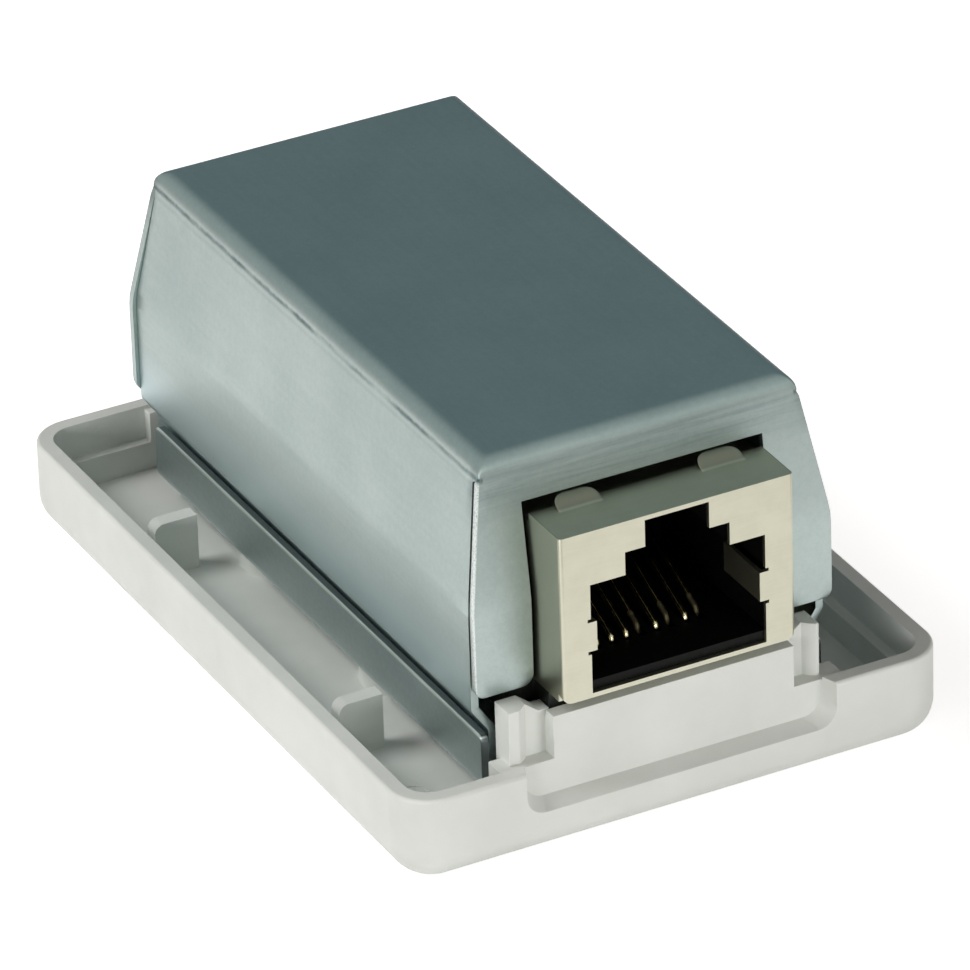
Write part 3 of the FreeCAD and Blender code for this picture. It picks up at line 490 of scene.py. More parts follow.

# %% [markdown]
# ## Painted shade under the cover's bends
# The flaps are painted darker just under their bends as shade, in soft level streaks that are
# also a little rougher and raised. A broken dark line is painted as shade under each side bend,
# with a fainter one below it. The marks could be painted on an image, but masks worked out from
# the piece's own x, y and z need no unwrapping and stay with the steel when the cover lifts.

# %% Cover steel under its bends
RUB_SHADE_ENDS = (20.9, 21.6)         # spans are in mm, from no mark to the full mark
RUB_SHADE_FOOT = (20.6, 23.2)
RUB_SHADE_HEAD = (24.9, 24.2)
RUB_STREAKS = (0.16, 0.16, 3.4)
BEND_SHADE_DEPTH = 0.52
LINE_LEVEL = 24.03
LINE_WIDTH = (0.26, 0.02)
LINE_LENGTHS = (0.1, 0.22, 0.6)
FAINT_LEVEL = 23.5
FAINT_WIDTH = (0.2, 0.02)
FAINT_DEPTH = 0.12
LINE_WANDER = 0.26
LINE_SIDES = (10.5, 10.6)

cover_finish = start("cover_steel")
spot = cover_finish.place()
x, y, z = cover_finish.axes(spot)
tone, height, share = plated(cover_finish, spot, srgb(182, 194, 191), srgb(165, 179, 177))
streak = cover_finish.noise(cover_finish.stretch(spot, RUB_STREAKS), 1.0)
rub_streaks_and_shade = abs(y).rise(*RUB_SHADE_ENDS) * z.rise(*RUB_SHADE_FOOT) * z.rise(*RUB_SHADE_HEAD)
rub_streaks_and_shade = rub_streaks_and_shade * (0.45 + 0.55 * streak.rise(0.3, 0.75))
# Painted shade: the flaps darker just under their bends, broken by the streaks.
tone = cover_finish.blend(rub_streaks_and_shade * BEND_SHADE_DEPTH, tone, srgb(116, 130, 129))
waver = cover_finish.noise(spot, 1.6, detail=4.0, roughness=0.7)
wander = (waver - 0.5) * LINE_WANDER
length = cover_finish.noise(cover_finish.stretch(spot, LINE_LENGTHS), 1.0, detail=2.0)
# Painted shade: a broken dark line under each side bend, and a fainter one below it.
side_bend_shade = abs(z - LINE_LEVEL - wander).rise(*LINE_WIDTH) * (0.15 + 0.75 * length.rise(0.3, 0.65))
side_bend_shade = side_bend_shade + abs(z - FAINT_LEVEL - wander).rise(*FAINT_WIDTH) * FAINT_DEPTH
side_bend_shade = side_bend_shade * abs(x).rise(*LINE_SIDES) * (0.5 + waver)
tone = cover_finish.blend(side_bend_shade, tone, srgb(88, 108, 108))
print("pressed line at", LINE_LEVEL, "mm, rubbed from", RUB_SHADE_FOOT[0], "to", RUB_SHADE_HEAD[0], "mm")

# %% [markdown]
# ## The cover's edges and lower sides
# The sheared edge along the left front seam is painted brighter than the faces as a highlight,
# with darker specks of plating, and the lower sides are painted paler as the light they reflect.
# The edge could be a thin piece of its own; a mask that follows the wall as it leans in is simpler
# and can't come loose.

# %% Cover steel at its edges
TAPER_LEVEL = 15.85
TAPER_SLOPE = 0.152
SIDE_FACE = (12.0, 12.07)
SEAM_FACE = (22.9, 22.96)
SEAM_HEAD = (24.0, 23.7)
SPECKLES = 9.0
LOW_LIGHT_FROM = (13.5, 9.0)
LOW_LIGHT_SIDES = (10.4, 10.8)
LOW_LIGHT_ENDS = (23.0, 22.4)

lean_in = (z - TAPER_LEVEL).most(0.0) * TAPER_SLOPE
sheared_edge_highlight = (lean_in - x).rise(*SIDE_FACE) * (lean_in - y).rise(*SEAM_FACE) * z.rise(*SEAM_HEAD)
speckle = cover_finish.noise(spot, SPECKLES, detail=2.0)
# Painted highlight along the left front seam's sheared edge, with darker specks of plating.
tone = cover_finish.blend(sheared_edge_highlight * speckle.rise(0.2, 0.6), tone, srgb(226, 232, 230))
painted_low_side_light = z.rise(*LOW_LIGHT_FROM) * abs(x).rise(*LOW_LIGHT_SIDES) * abs(y).rise(*LOW_LIGHT_ENDS)
# Painted light: the lower sides paler, for the light they reflect from the tray.
tone = cover_finish.blend(painted_low_side_light, tone, srgb(198, 215, 217))
cover_steel = cover_finish.surface(base_color=tone, metallic=1.0,
                                   roughness=ZINC_SATIN + share * 0.08 + rub_streaks_and_shade * 0.1,
                                   normal=cover_finish.bump(height + streak * rub_streaks_and_shade * 0.01))
print(cover_steel.name + ":", len(cover_steel.node_tree.nodes), "nodes")

# %% [markdown]
# ## The channel's steel
# The channel is of the same sheet. The crests of its flanges, its sheared edges, are painted dark
# as shade, the outer edge of each crest is painted as a thin pale highlight, and the cut front end
# is painted dark as the shade it lies in. One material with masks keeps these on one mesh, where
# three materials would need faces picked.

# %% Channel steel
CREST_FACE = (6.97, 7.04)
OUTER_FACE = (11.58, 11.63)
OUTER_LINE = (6.86, 6.95)
FRONT_FACE = (23.06, 23.12)

tray_finish = start("tray_steel")
spot = tray_finish.place()
x, y, z = tray_finish.axes(spot)
tone, height, share = plated(tray_finish, spot, srgb(206, 216, 217), srgb(187, 199, 202))
# Painted shade: the flanges' crests darker.
tone = tray_finish.blend(z.rise(*CREST_FACE), tone, srgb(120, 124, 122))
crest_edge_highlight = abs(x).rise(*OUTER_FACE) * z.rise(*OUTER_LINE)
# Painted highlight: a thin pale line along each crest's outer edge.
tone = tray_finish.blend(crest_edge_highlight, tone, srgb(244, 246, 242))
# Painted shade: the cut front end darker.
tone = tray_finish.blend((0.0 - y).rise(*FRONT_FACE), tone, srgb(104, 112, 114))
channel_steel = tray_finish.surface(base_color=tone, metallic=1.0,
                                    roughness=ZINC_SATIN + share * 0.1,
                                    normal=tray_finish.bump(height))
print(channel_steel.name + ":", len(channel_steel.node_tree.nodes), "nodes")

# %% [markdown]
# ## Tinned shell of the jack
# The jack's shell is tinned brass, satin and a little warm, with a faint grain from the strip it
# was pressed from. Its flanks and the raised tongues are painted darker than its face, as shade.
# An anisotropic shader could give the grain, but stretched noise shows the same and survives the
# export.

# %% Jack tin
TIN_GRAIN = (0.5, 4.0, 9.0)
TIN_SPAN = (0.25, 0.8)
FLANK_FACE = (7.86, 7.92)
FLANK_SHADE_DEPTH = 0.8
RAISED_FROM = (21.42, 21.5)
RAISED_SHADE_DEPTH = 0.75
TIN_SATIN = 0.32

tin = start("jack_tin")
spot = tin.place()
x, _, z = tin.axes(spot)
cloud = tin.noise(spot, 0.7, detail=4.0)
brushed = tin.noise(tin.stretch(spot, TIN_GRAIN), 1.0)
share = (cloud * 0.7 + brushed * 0.3).rise(*TIN_SPAN)
tone = tin.blend(share, srgb(202, 201, 183), srgb(193, 192, 172))
# Painted shade: the flanks darker than the face.
tone = tin.blend(abs(x).rise(*FLANK_FACE) * FLANK_SHADE_DEPTH, tone, srgb(158, 160, 142))
# Painted shade: the raised tongues, above 21.42 mm, darker.
tone = tin.blend(z.rise(*RAISED_FROM) * RAISED_SHADE_DEPTH, tone, srgb(140, 137, 120))
jack_tin = tin.surface(base_color=tone, metallic=1.0, roughness=TIN_SATIN + brushed * 0.08,
                       normal=tin.bump(brushed * 0.0015 + cloud * 0.004))
print(jack_tin.name + ":", len(jack_tin.node_tree.nodes), "nodes")

# %% [markdown]
# ## Black moulding of the jack
# The insert is satin black plastic. Full specular would turn its deep walls grey, so the specular
# level is low, and a fine noise breaks up the colour, the gloss and the surface a little.

# %% Insert black
BLACK_SPAN = (0.35, 0.7)
BLACK_SATIN = 0.3
BLACK_SPECULAR = 0.12

black = start("insert_black")
fine = black.noise(black.place(), 3.0, detail=4.0)
tone = black.blend(fine.rise(*BLACK_SPAN), srgb(7, 8, 7), srgb(13, 15, 13))
insert_black = black.surface(base_color=tone, roughness=BLACK_SATIN + fine * 0.14,
                             specular_ior_level=BLACK_SPECULAR, normal=black.bump(fine * 0.006))
print(insert_black.name + ":", len(insert_black.node_tree.nodes), "nodes")

# %% [markdown]
# ## Sizes come from the solids
# A new piece that stands for a solid has to lie where the solid is. Its sizes could be typed in
# again, but then a change in the model would leave the piece behind. So they are read from the
# frame: `solid_box` gives a solid's two corners in mm. Here it finds the middle of each wire.

# %% Sizes from the solids
WIRES = range(1, 9)


def solid_box(node):
    """Lowest and highest corner of a solid, each as x, y, z in mm, to a thousandth."""
    return np.round(np.array(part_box(node)) / MM, 3).tolist()


wire_x = {}
for number in WIRES:
    low, high = solid_box(f"jack_contact_{number}")
    wire_x[number] = (low[0] + high[0]) / 2
print("wires at x =", [round(middle, 3) for middle in wire_x.values()])

# %% [markdown]
# ## Gold on the contact wires
# The wires are gold plated and polished; the nose is painted near white as a highlight, and the
# wire darker towards its root as shade. Three sit further back in their slots, and their noses are
# painted dark as shade. A second material could give that, but a mask round those wires' own
# places keeps all eight alike.

# %% Contact gold
HELD_BACK = (4, 6, 8)
DRAWN_LINES = (6.0, 1.2, 1.2)
ROOT_SPAN = (-21.5, -16.0)
NOSE_SHADE_ENDS = (-21.2, -21.9)
NOSE_SHADE_SIDES = (0.4, 0.3)
NOSE_SHADE_DEPTH = 0.9
GOLD_POLISH = 0.12

gold = start("contact_gold")
spot = gold.place()
x, y, _ = gold.axes(spot)
rubbing = gold.noise(gold.stretch(spot, DRAWN_LINES), 1.0)
# Painted highlight: the nose near white; painted shade: darker towards the root.
tone = gold.blend(y.rise(*ROOT_SPAN), srgb(252, 236, 190), srgb(160, 122, 66))
shaded_noses = y.rise(*NOSE_SHADE_ENDS) * sum(abs(x - wire_x[number]).rise(*NOSE_SHADE_SIDES)
                                  for number in HELD_BACK)
# Painted shade: the noses of the three wires held back are dark.
tone = gold.blend(shaded_noses * NOSE_SHADE_DEPTH, tone, srgb(52, 44, 28))
contact_gold = gold.surface(base_color=tone, metallic=1.0,
                            roughness=GOLD_POLISH + rubbing * 0.1 + shaded_noses * 0.4,
                            normal=gold.bump(rubbing * 0.004))
print(contact_gold.name + ":", len(contact_gold.node_tree.nodes), "nodes")

# %% [markdown]
# ## White moulding
# The base is injection moulded in an off-white plastic with a fine spark-eroded texture that
# scatters light but keeps a soft sheen. Dust and handling leave very faint cloudy patches. The
# texture could be real displacement, but it is so fine that a bump shows the same.

# %% Base plastic
PATCHES = 0.16          # features per mm
SPARKS = 7.0
PATCH_SPAN = (0.3, 0.75)
PLASTIC_SHEEN = 0.42
PLASTIC_IOR = 1.5

white = start("base_plastic")
spot = white.place()
cloud = white.noise(spot, PATCHES)
fine = white.noise(spot, SPARKS)
tone = white.blend(cloud.rise(*PATCH_SPAN), srgb(220, 223, 218), srgb(211, 215, 209))
base_plastic = white.surface(base_color=tone, roughness=PLASTIC_SHEEN + fine * 0.12,
                             ior=PLASTIC_IOR, normal=white.bump(fine * 0.012))
print(base_plastic.name + ":", len(base_plastic.node_tree.nodes), "nodes")

# %% [markdown]
# ## The circuit board
# Lifting the cover shows the board with its green lacquer. Its copper runs show through as slightly
# raised, paler lines. They could be modelled as thin strips, but a wave that is bent by noise gives
# their look for nothing. The sawn sides show the brownish laminate, and the strip in front, under
# the jack, is painted black as shade.

# %% Board laminate
COPPER_SPAN = (0.62, 0.7)
RUN_STRETCH = (1.0, 0.15, 1.0)
RUN_SCALE = 0.34
RUN_BEND = 2.2
FIBRE_SPAN = (0.4, 0.8)
FIBRE_DEPTH = 0.3
SAWN_FACE = (10.1, 10.12)
SHADED_FRONT_STRIP = (20.6, 21.0)

board = start("board_laminate")
spot = board.place()
x, y, _ = board.axes(spot)
bent = board.noise(spot, 0.1, detail=1.0)
runs = board.add("TexWave", {"wave_type": "BANDS", "bands_direction": "X"},
                 {"Vector": board.stretch(spot, RUN_STRETCH), "Scale": RUN_SCALE,
                  "Distortion": RUN_BEND, "Detail": 0.0})
fibre = board.noise(spot, 1.6, detail=2.0)
copper = runs.rise(*COPPER_SPAN)
tone = board.blend(copper, srgb(24, 84, 52), srgb(42, 112, 66))
tone = board.blend(fibre.rise(*FIBRE_SPAN) * FIBRE_DEPTH, tone, srgb(16, 62, 40))
tone = board.blend(abs(x).rise(*SAWN_FACE), tone, srgb(96, 92, 62))
# Painted shade: the board's front strip under the jack is black.
tone = board.blend((0.0 - y).rise(*SHADED_FRONT_STRIP), tone, srgb(16, 19, 16))
board_green = board.surface(base_color=tone, roughness=0.25 + fibre * 0.15,
                            normal=board.bump(copper * 0.035 + bent * 0.01))
print(board_green.name + ":", len(board_green.node_tree.nodes), "nodes")

# %% [markdown]
# ## Wire blocks
# The blocks that grip the wires are moulded in a warm white plastic. It could share the base's
# material, but it is glossier and a little yellower, so it has its own, with one fine noise.

# %% Block plastic
BLOCK_SPAN = (0.35, 0.7)
BLOCK_GLOSS = 0.35

block = start("block_plastic")
fine = block.noise(block.place(), 4.0)
tone = block.blend(fine.rise(*BLOCK_SPAN), srgb(226, 226, 220), srgb(216, 216, 208))
block_white = block.surface(base_color=tone, roughness=BLOCK_GLOSS + fine * 0.15,
                            normal=block.bump(fine * 0.01))
print(block_white.name + ":", len(block_white.node_tree.nodes), "nodes")

# %% [markdown]
# ## Small metal parts
# Under the cover there are tinned forks, nickel-plated spacers and screws, and a zinc-plated clamp.
# Each could have its own recipe, but they differ only in colour and gloss, so one function mixes
# all four: cloudy colour, and fine scratches in its gloss and surface.

# %% Small metal
METAL_SPAN = (0.3, 0.75)
SCRATCHES = (9.0, 2.0, 1.0)


def small_metal(name, pale, dark, roughness):
    """Plated small part: colour by wide noise, gloss and bump by a noise stretched along Z."""
    metal = start(name)
    spot = metal.place()
    cloud = metal.noise(spot, 1.3)
    scratch = metal.noise(metal.stretch(spot, SCRATCHES), 1.0)
    return metal.surface(base_color=metal.blend(cloud.rise(*METAL_SPAN), pale, dark), metallic=1.0,
                         roughness=roughness + scratch * 0.15, normal=metal.bump(scratch * 0.006))


fork_bronze = small_metal("fork_bronze", srgb(214, 206, 186), srgb(186, 176, 150), 0.22)
spacer_nickel = small_metal("spacer_steel", srgb(205, 203, 196), srgb(184, 182, 176), 0.2)
screw_nickel = small_metal("screw_steel", srgb(198, 197, 192), srgb(172, 171, 166), 0.22)
clamp_zinc = small_metal("clamp_steel", srgb(190, 197, 197), srgb(164, 172, 173), 0.32)
print("materials:", len(bpy.data.materials))

# %% [markdown]
# ## The folded cover
# The cover is one steel blank: a top with four flaps folded down and open seams at the corners. It
# could be a box with bevels, but its walls lean in, and the soft bends need exact arcs to reflect
# well. So its outer skin is computed. One profile gives how far a wall has leaned in at each
# height, and every part of the skin reads it, so that all of them meet along the rim.

# %% Cover profile
REACH = 0.25            # how far a flap stands proud of the side beside it
cover_low, cover_high = solid_box("shield_cover")
_, FRONT, SKIRT_FOOT = cover_low
widest, REAR, TOP = cover_high
HALF = widest - REACH
LEAN = 1.42
RIM = 24.15
PROFILE_FOOT = 8.0      # the profile starts upright at this height
PROFILE_RUN = 6.0       # and ends flat, this far in on the top
TAPER_BEND = 8.0
TOP_BEND = 1.05
lean_path = rounded_path([(0, PROFILE_FOOT), (0, TAPER_LEVEL), (LEAN, TOP), (PROFILE_RUN, TOP)],
                         [TAPER_BEND, TOP_BEND], steps=12)
wall_path = lean_path[:-1]


def inset(z):
    """How far the wall has leaned in at height z, read off the profile."""
    return np.interp(z, wall_path[:, 1], wall_path[:, 0])


print("the wall leans in", round(float(inset(RIM)), 2), "mm at the rim")

# %% [markdown]
# ## The cover's top
# The top is flat with a soft bend all round. A bevel would make that bend, but not one whose
# corners grow rounder towards the top, as pressed steel's do. So rings of the profile are stacked:
# each is a rectangle with rounded corners, further in than the one below, and the last one closes
# flat. `across_flap` puts points where the flaps below need them, so that the welded seams match.

# %% Cover top with its bends
NOTCH_HALF = 8.2
ARCH_HALF = 2.68
CORNER = 0.12           # corner radius at the rim
CORNER_GROWTH = 0.3     # and what it gains for each mm that the wall leans in
LAST_RING_IN = 0.4
LENGTH_POINTS = 25
ARC_POINTS = 5
SIDE_POINTS = 5
MIDDLE_POINTS = 9


def across_flap(left, right, inner):
    """Places across a flap: even steps from left to -inner, to inner, and to right."""
    t = np.linspace(0, 1, SIDE_POINTS)
    middle = np.linspace(-inner, inner, MIDDLE_POINTS + 2)[1:-1]
    middle = np.broadcast_to(middle, (len(left), len(middle)))
    return np.hstack([left + (-inner - left) * t, middle, inner + (right - inner) * t])


along = np.linspace(0, 1, LENGTH_POINTS)
bend = lean_path[lean_path[:, 1] > RIM][:-1]
lean = np.concatenate([[inset(RIM)], bend[:, 0], [bend[-1, 0] + LAST_RING_IN]])[:, None]
level = np.concatenate([[RIM], bend[:, 1], [TOP]])[:, None]
radius = CORNER + (lean - lean[0]) * CORNER_GROWTH
x1 = HALF - lean - radius
y0 = FRONT + lean + radius
y1 = REAR - lean - radius
turn = np.linspace(0, math.pi / 2, ARC_POINTS + 2)[1:-1]
cos, sin = np.cos(turn), np.sin(turn)
one = np.ones(LENGTH_POINTS)
flap = np.ones(2 * SIDE_POINTS + MIDDLE_POINTS)
loop_x = np.hstack([across_flap(-x1, x1, NOTCH_HALF), x1 + radius * sin, (x1 + radius) * one,
                    x1 + radius * cos, across_flap(-x1, x1, ARCH_HALF)[:, ::-1],
                    -x1 - radius * sin, -(x1 + radius) * one, -x1 - radius * cos])
loop_y = np.hstack([(y0 - radius) * flap, y0 - radius * cos, y0 + (y1 - y0) * along,
                    y1 + radius * sin, (y1 + radius) * flap, y1 + radius * cos,
                    y1 + (y0 - y1) * along, y0 - radius * sin])
cover = Shell()
cover.sheet(loop_x, loop_y, level, wrap=True)
cover.lid(loop_x[-1], loop_y[-1], TOP)
print("top:", loop_x.shape[0], "rings of", loop_x.shape[1], "points")

# %% [markdown]
# ## The cover's sides
# Each side flap steps inward low down and tucks inside the channel. Below the rim it parts from the
# end flaps, which leaves open seams. It could be cut free with a Boolean; a grid whose two ends
# draw back by a smooth step of the depth under the rim gives the same seam with clean quads.

# %% Cover sides with their inward step
SKIRT_HALF = 11.0
STEP_LOW = 7.2
STEP_HIGH = 8.8
STEP_BEND = 0.55
CREASE_DEPTH = 0.5
FRONT_SEAM = 0.72
REAR_SEAM = 0.54
SEAM_START = 0.05
SEAM_OPENING = 0.45


def smooth(t):
    """3t^2 - 2t^3, with t held between 0 and 1."""
    t = np.clip(t, 0, 1)
    return t * t * (3 - 2 * t)


side_path = rounded_path([(SKIRT_HALF, SKIRT_FOOT), (SKIRT_HALF, STEP_LOW), (HALF, STEP_HIGH),
                          (HALF, TAPER_LEVEL), (HALF - inset(RIM), RIM)],
                         [STEP_BEND, STEP_BEND, TAPER_BEND])
crease = np.linspace(RIM, RIM - CREASE_DEPTH, 6)[1:, None]
near_rim = np.hstack([HALF - inset(crease), crease])[::-1]
side_path = np.concatenate([side_path[:-1], near_rim, side_path[-1:]])
side_x, side_z = side_path[:, :1], side_path[:, 1:]
opened = smooth((RIM - SEAM_START - side_z) / SEAM_OPENING)
start_y = FRONT + inset(side_z) + CORNER + (FRONT_SEAM - CORNER) * opened
end_y = REAR - inset(side_z) - CORNER - (REAR_SEAM - CORNER) * opened
side_y = start_y + (end_y - start_y) * along
cover.sheet(side_x, side_y, side_z)
cover.sheet(-side_x, side_y, side_z, flip=True)
print("sides:", side_y.shape[0], "rows, seams open to", FRONT_SEAM, "and", REAR_SEAM, "mm")

# %% [markdown]
# ## The cover's front flap
# The front flap is notched for the jack, which leaves a band above it and a leg at each side, with
# rounded corners at the foot. A flat plate with a hole would need a Boolean. Three grids do it: one
# for the band and one for each leg, whose edges are drawn in where a corner is round.

# %% Cover front flap with the jack notch
NOTCH_TOP = 22.05
FRONT_FOOT = 9.95
INNER_ROUND = 0.8
OUTER_ROUND = 0.6
UNDER_RIM = 0.4
LEG_FROM = 11.2


def drawn_in(above, radius):
    """How far a round corner draws an edge in: r - sqrt(r^2 - d^2), with d = r - above."""
    return radius - np.sqrt(radius ** 2 - np.maximum(0, radius - above) ** 2)


def flap_edge(z, reach):
    """Half width of a flap at height z: half the cover, plus a reach that grows downwards, less
    the wall's inset, and less a corner's draw that sets in just under the rim."""
    proud = reach * np.clip((RIM - z) / (RIM - TAPER_LEVEL), 0, 1)
    return HALF + proud - inset(z) - CORNER * np.clip((z - RIM + UNDER_RIM) / UNDER_RIM, 0, 1)


band = np.concatenate([np.linspace(NOTCH_TOP, RIM - UNDER_RIM, 6),
                       np.linspace(RIM - UNDER_RIM, RIM, 6)[1:]])[:, None]
cover.sheet(across_flap(-flap_edge(band, 0.0), flap_edge(band, REACH), NOTCH_HALF),
            FRONT + inset(band), band)
near_foot = FRONT_FOOT + np.linspace(0, 0.9, 9) ** 1.5      # rows crowd where corners are round
leg_z = np.concatenate([near_foot, np.linspace(LEG_FROM, NOTCH_TOP, 15)])[:, None]
inner_edge = NOTCH_HALF + drawn_in(leg_z - FRONT_FOOT, INNER_ROUND)
across = np.linspace(0, 1, SIDE_POINTS)
for side, reach in ((-1, 0.0), (1, REACH)):
    outer_edge = flap_edge(leg_z, reach) - drawn_in(leg_z - FRONT_FOOT, OUTER_ROUND)
    leg = inner_edge + (outer_edge - inner_edge) * across
    cover.sheet(side * leg, FRONT + inset(leg_z), leg_z, flip=side < 0)
print("front flap:", len(band), "rows in the band,", len(leg_z), "in each leg")

# %% [markdown]
# ## The cover's rear flap
# The rear flap reaches lower and has an arch for the cable in its middle. It could be cut out, but
# one grid is enough: each column starts at its own foot, on the arch or beside it, and climbs to
# the rim by the same share. That finishes the skin, which then gets its wall of sheet steel.

# %% Cover rear flap with the cable arch
REAR_FOOT = 8.9
REAR_ROUND = 1.2
ARCH_LEVEL = 6.5
ARCH_RADIUS = 3.6
SHEET = 0.5

rise_share = (np.linspace(0, 1, 26) ** 1.3)[:, None]        # rows crowd towards the foot
base_x = across_flap(np.array([[-HALF]]), np.array([[HALF]]), ARCH_HALF)
arch = ARCH_LEVEL + np.sqrt(np.maximum(ARCH_RADIUS ** 2 - base_x ** 2, 0))
rear_foot = np.where(np.abs(base_x) < ARCH_HALF, arch, REAR_FOOT)
rear_z = rear_foot + (RIM - rear_foot) * rise_share
rear_half = flap_edge(rear_z, REACH) - drawn_in(rear_z - REAR_FOOT, REAR_ROUND)
share = (np.abs(base_x) - ARCH_HALF) / (HALF - ARCH_HALF)
outside = np.sign(base_x) * (ARCH_HALF + (rear_half - ARCH_HALF) * share)
rear_x = np.where(np.abs(base_x) > ARCH_HALF, outside, base_x)
cover.sheet(rear_x, REAR - inset(rear_z), rear_z, flip=True)
cover_piece = cover.build("folded_cover", cover_steel)
thicken(cover_piece, SHEET)
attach(cover_piece, "cover")
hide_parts("shield_cover")

# %% [markdown]
# ## The channel
# The low channel is a strip folded up at both sides. Bevelled boxes would give its bends, but not
# the flanges' rounded top corners. Its profile, a flat U with two bends, is carried straight along
# Y, and each end is drawn in where the corners are round.

# %% Channel
channel_low, channel_high = solid_box("shield_tray")
_, CHANNEL_FRONT, CHANNEL_LOW = channel_low
CHANNEL_HALF, CHANNEL_REAR, CHANNEL_TOP = channel_high
CHANNEL_BEND = 1.0
CREST_ROUND = 0.5
CREST_STEPS = np.array([0.0, 0.03, 0.1, 0.25, 0.5, 1.0])

crest = CHANNEL_TOP - CREST_ROUND * CREST_STEPS
fold = rounded_path([(-CHANNEL_HALF, crest[-1]), (-CHANNEL_HALF, CHANNEL_LOW),
                     (CHANNEL_HALF, CHANNEL_LOW), (CHANNEL_HALF, crest[-1])],
                    [CHANNEL_BEND, CHANNEL_BEND], steps=10)
left_crest = np.column_stack([np.full(len(crest) - 1, -CHANNEL_HALF), crest[:-1]])
fold = np.concatenate([left_crest, fold, (left_crest * (-1, 1))[::-1]])
fold_x, fold_z = fold[:, :1], fold[:, 1:]
drawn = drawn_in(CHANNEL_TOP - fold_z, CREST_ROUND)
fold_y = CHANNEL_FRONT + drawn + (CHANNEL_REAR - CHANNEL_FRONT - 2 * drawn) * along
channel = Shell()
channel.sheet(fold_x, fold_y, fold_z)
channel_piece = channel.build("folded_channel", channel_steel)
thicken(channel_piece, SHEET)
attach(channel_piece, "base")
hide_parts("shield_tray")

# %% [markdown]
# ## Contact wires
# Each contact is one drawn wire: a solder pin, a run forward under the floor, a tight nose and a
# blade that rises to the rear. A swept curve object would do, but a tube over a grid keeps its ends
# round: the radius shrinks like a half circle at both ends. Each wire is fitted to its own solid's
# box, and the three held back stop short at the nose.

# %% Contacts
WIRE = 0.18             # the wire's radius
RUN_Z = 10.38
NOSE_Z = 11.16
TIP_Y = -14.9
PIN_SHORT = 0.02
SET_BACK = 0.5
WIRE_BENDS = (0.4, 0.32, 0.42)
ROUND_POINTS = 12


def wire_points(pin_y, pin_z, nose_y, tip_z):
    """Line of a contact: its length so far, y and z, with more points near the round ends."""
    line = rounded_path([(pin_y, pin_z), (pin_y, RUN_Z), (nose_y, RUN_Z), (nose_y, NOSE_Z),
                         (TIP_Y, tip_z)], WIRE_BENDS, steps=8)
    lengths = np.hypot(*np.diff(line, axis=0).T)
    travel = np.concatenate([[0], np.cumsum(lengths)])
    close = WIRE * np.array([0, 0.05, 0.2, 0.5, 1.0])
    s = np.unique(np.concatenate([travel[1:-1], close, travel[-1] - close]))
    return s, np.interp(s, travel, line[:, 0]), np.interp(s, travel, line[:, 1])


def contact_wire(number):
    """Tube: point = line + r (cos a X + sin a N), N square to the line in the YZ plane."""
    (_, nose, foot), (_, pin, tip) = solid_box(f"jack_contact_{number}")
    s, y, z = wire_points(pin - WIRE, foot + PIN_SHORT,
                          nose + WIRE + SET_BACK * (number in HELD_BACK), tip - WIRE)
    slope_y, slope_z = np.gradient(y, s), np.gradient(z, s)
    size = np.hypot(slope_y, slope_z)
    near_end = np.minimum(s, s[-1] - s)
    r = (WIRE * np.sqrt(1 - np.maximum(0, 1 - near_end / WIRE) ** 2))[:, None]
    a = np.linspace(0, 2 * math.pi, ROUND_POINTS + 1)[:-1]
    tube = Shell()
    tube.sheet(wire_x[number] + r * np.cos(a),
               y[:, None] + r * np.sin(a) * (slope_z / size)[:, None],
               z[:, None] - r * np.sin(a) * (slope_y / size)[:, None], wrap=True)
    wire = tube.build(f"contact_wire_{number}", contact_gold)
    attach(wire, "base")
    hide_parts(f"jack_contact_{number}")


for number in WIRES:
    contact_wire(number)

# %% [markdown]
# ## Spring tongues on the jack
# Two short tongues are pressed up out of the shell's top where it passes under the cover, so that
# the two touch and the shield stays closed. Each could be cut from a plane with a Boolean; a leaf
# over a grid of width and length is as easy and has no loose edges.

# %% Jack tongues
_, (_, _, JACK_TOP) = solid_box("jack_shield")
TONGUE_X = 4.85
TONGUE_HALF = 1.5
TONGUE_FRONT = -24.1
TONGUE_LENGTH = 1.6
TONGUE_RISE = 0.55
TONGUE_SUNK = 0.02
TONGUE_SHEET = 0.15
TONGUE_EDGE = 0.03
TIP_NARROWING = 0.98
LEAF_POINTS = 17


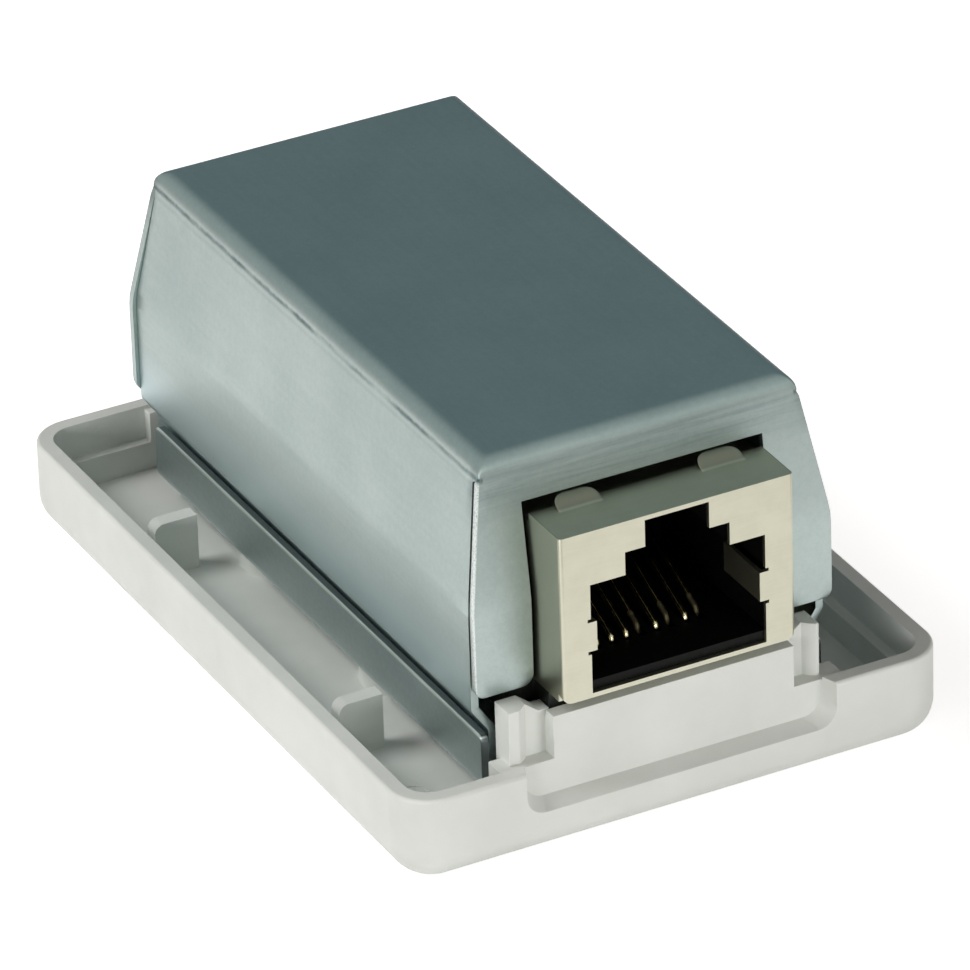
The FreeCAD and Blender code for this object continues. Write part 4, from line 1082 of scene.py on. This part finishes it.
def jack_tongue(name, centre_x):
    """Leaf: half width = w sqrt(1 - n v^4), n the narrowing; z climbs by a smooth step of v."""
    u = np.linspace(-1, 1, LEAF_POINTS)
    v = np.sin(np.linspace(0, math.pi / 2, LEAF_POINTS))[:, None]
    leaf = Shell()
    leaf.sheet(centre_x + TONGUE_HALF * u * np.sqrt(1 - TIP_NARROWING * v ** 4),
               TONGUE_FRONT + TONGUE_LENGTH * v,
               JACK_TOP - TONGUE_SUNK + TONGUE_RISE * smooth(v))
    tongue = leaf.build(name, jack_tin)
    thicken(tongue, TONGUE_SHEET, TONGUE_EDGE)
    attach(tongue, "base")


jack_tongue("jack_tongue_left", -TONGUE_X)
jack_tongue("jack_tongue_right", TONGUE_X)

# %% [markdown]
# ## Pieces that keep their solid's shape
# The moulding, the jack's shell and the clamp are right as they are, but loose triangles shade in
# facets. They could be shown as they are with flat shading, without any catch of light on their
# edges. A merged copy whose edges are slightly broken catches light as the real edges do, so each
# of these nodes is shown by such a copy.

# %% Softened copies
SOLID_WELD = 0.001
FLAT_WITHIN = 0.3       # degrees
SHARP_FROM = 30         # degrees


def softened_copy(node, name, material, edge):
    """A welded copy of a node's mesh, flat areas joined, sharp edges broken by a small round."""
    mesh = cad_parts[node].data.copy()
    piece = finish_mesh(name, mesh, material, SOLID_WELD, FLAT_WITHIN)
    soften(piece, edge, SHARP_FROM)
    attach(piece, "base")
    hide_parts(node)


softened_copy("base_tray", "base_moulding", base_plastic, 0.1)
softened_copy("jack_shield", "jack_shell", jack_tin, 0.04)
softened_copy("cable_clamp", "clamp_saddle", clamp_zinc, 0.06)

# %% [markdown]
# ## The other solids
# The insert, the board and the small parts under the cover are seen only in the jack's mouth or
# with the cover lifted. New pieces for them would show nothing that their solids don't, so they
# stay, and take a finish in their material slots, family by family.

# %% Finishes on the other nodes
FINISH = {"jack_insert": insert_black, "circuit_board": board_green, "idc_block": block_white,
          "idc_contact": fork_bronze, "board_spacer": spacer_nickel, "board_screw": screw_nickel,
          "clamp_screw": screw_nickel}
for node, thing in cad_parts.items():
    for family, material in FINISH.items():
        if node.startswith(family):
            for holder in thing.material_slots:
                holder.material = material
print("finished nodes:", sum(node.startswith(tuple(FINISH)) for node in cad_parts))
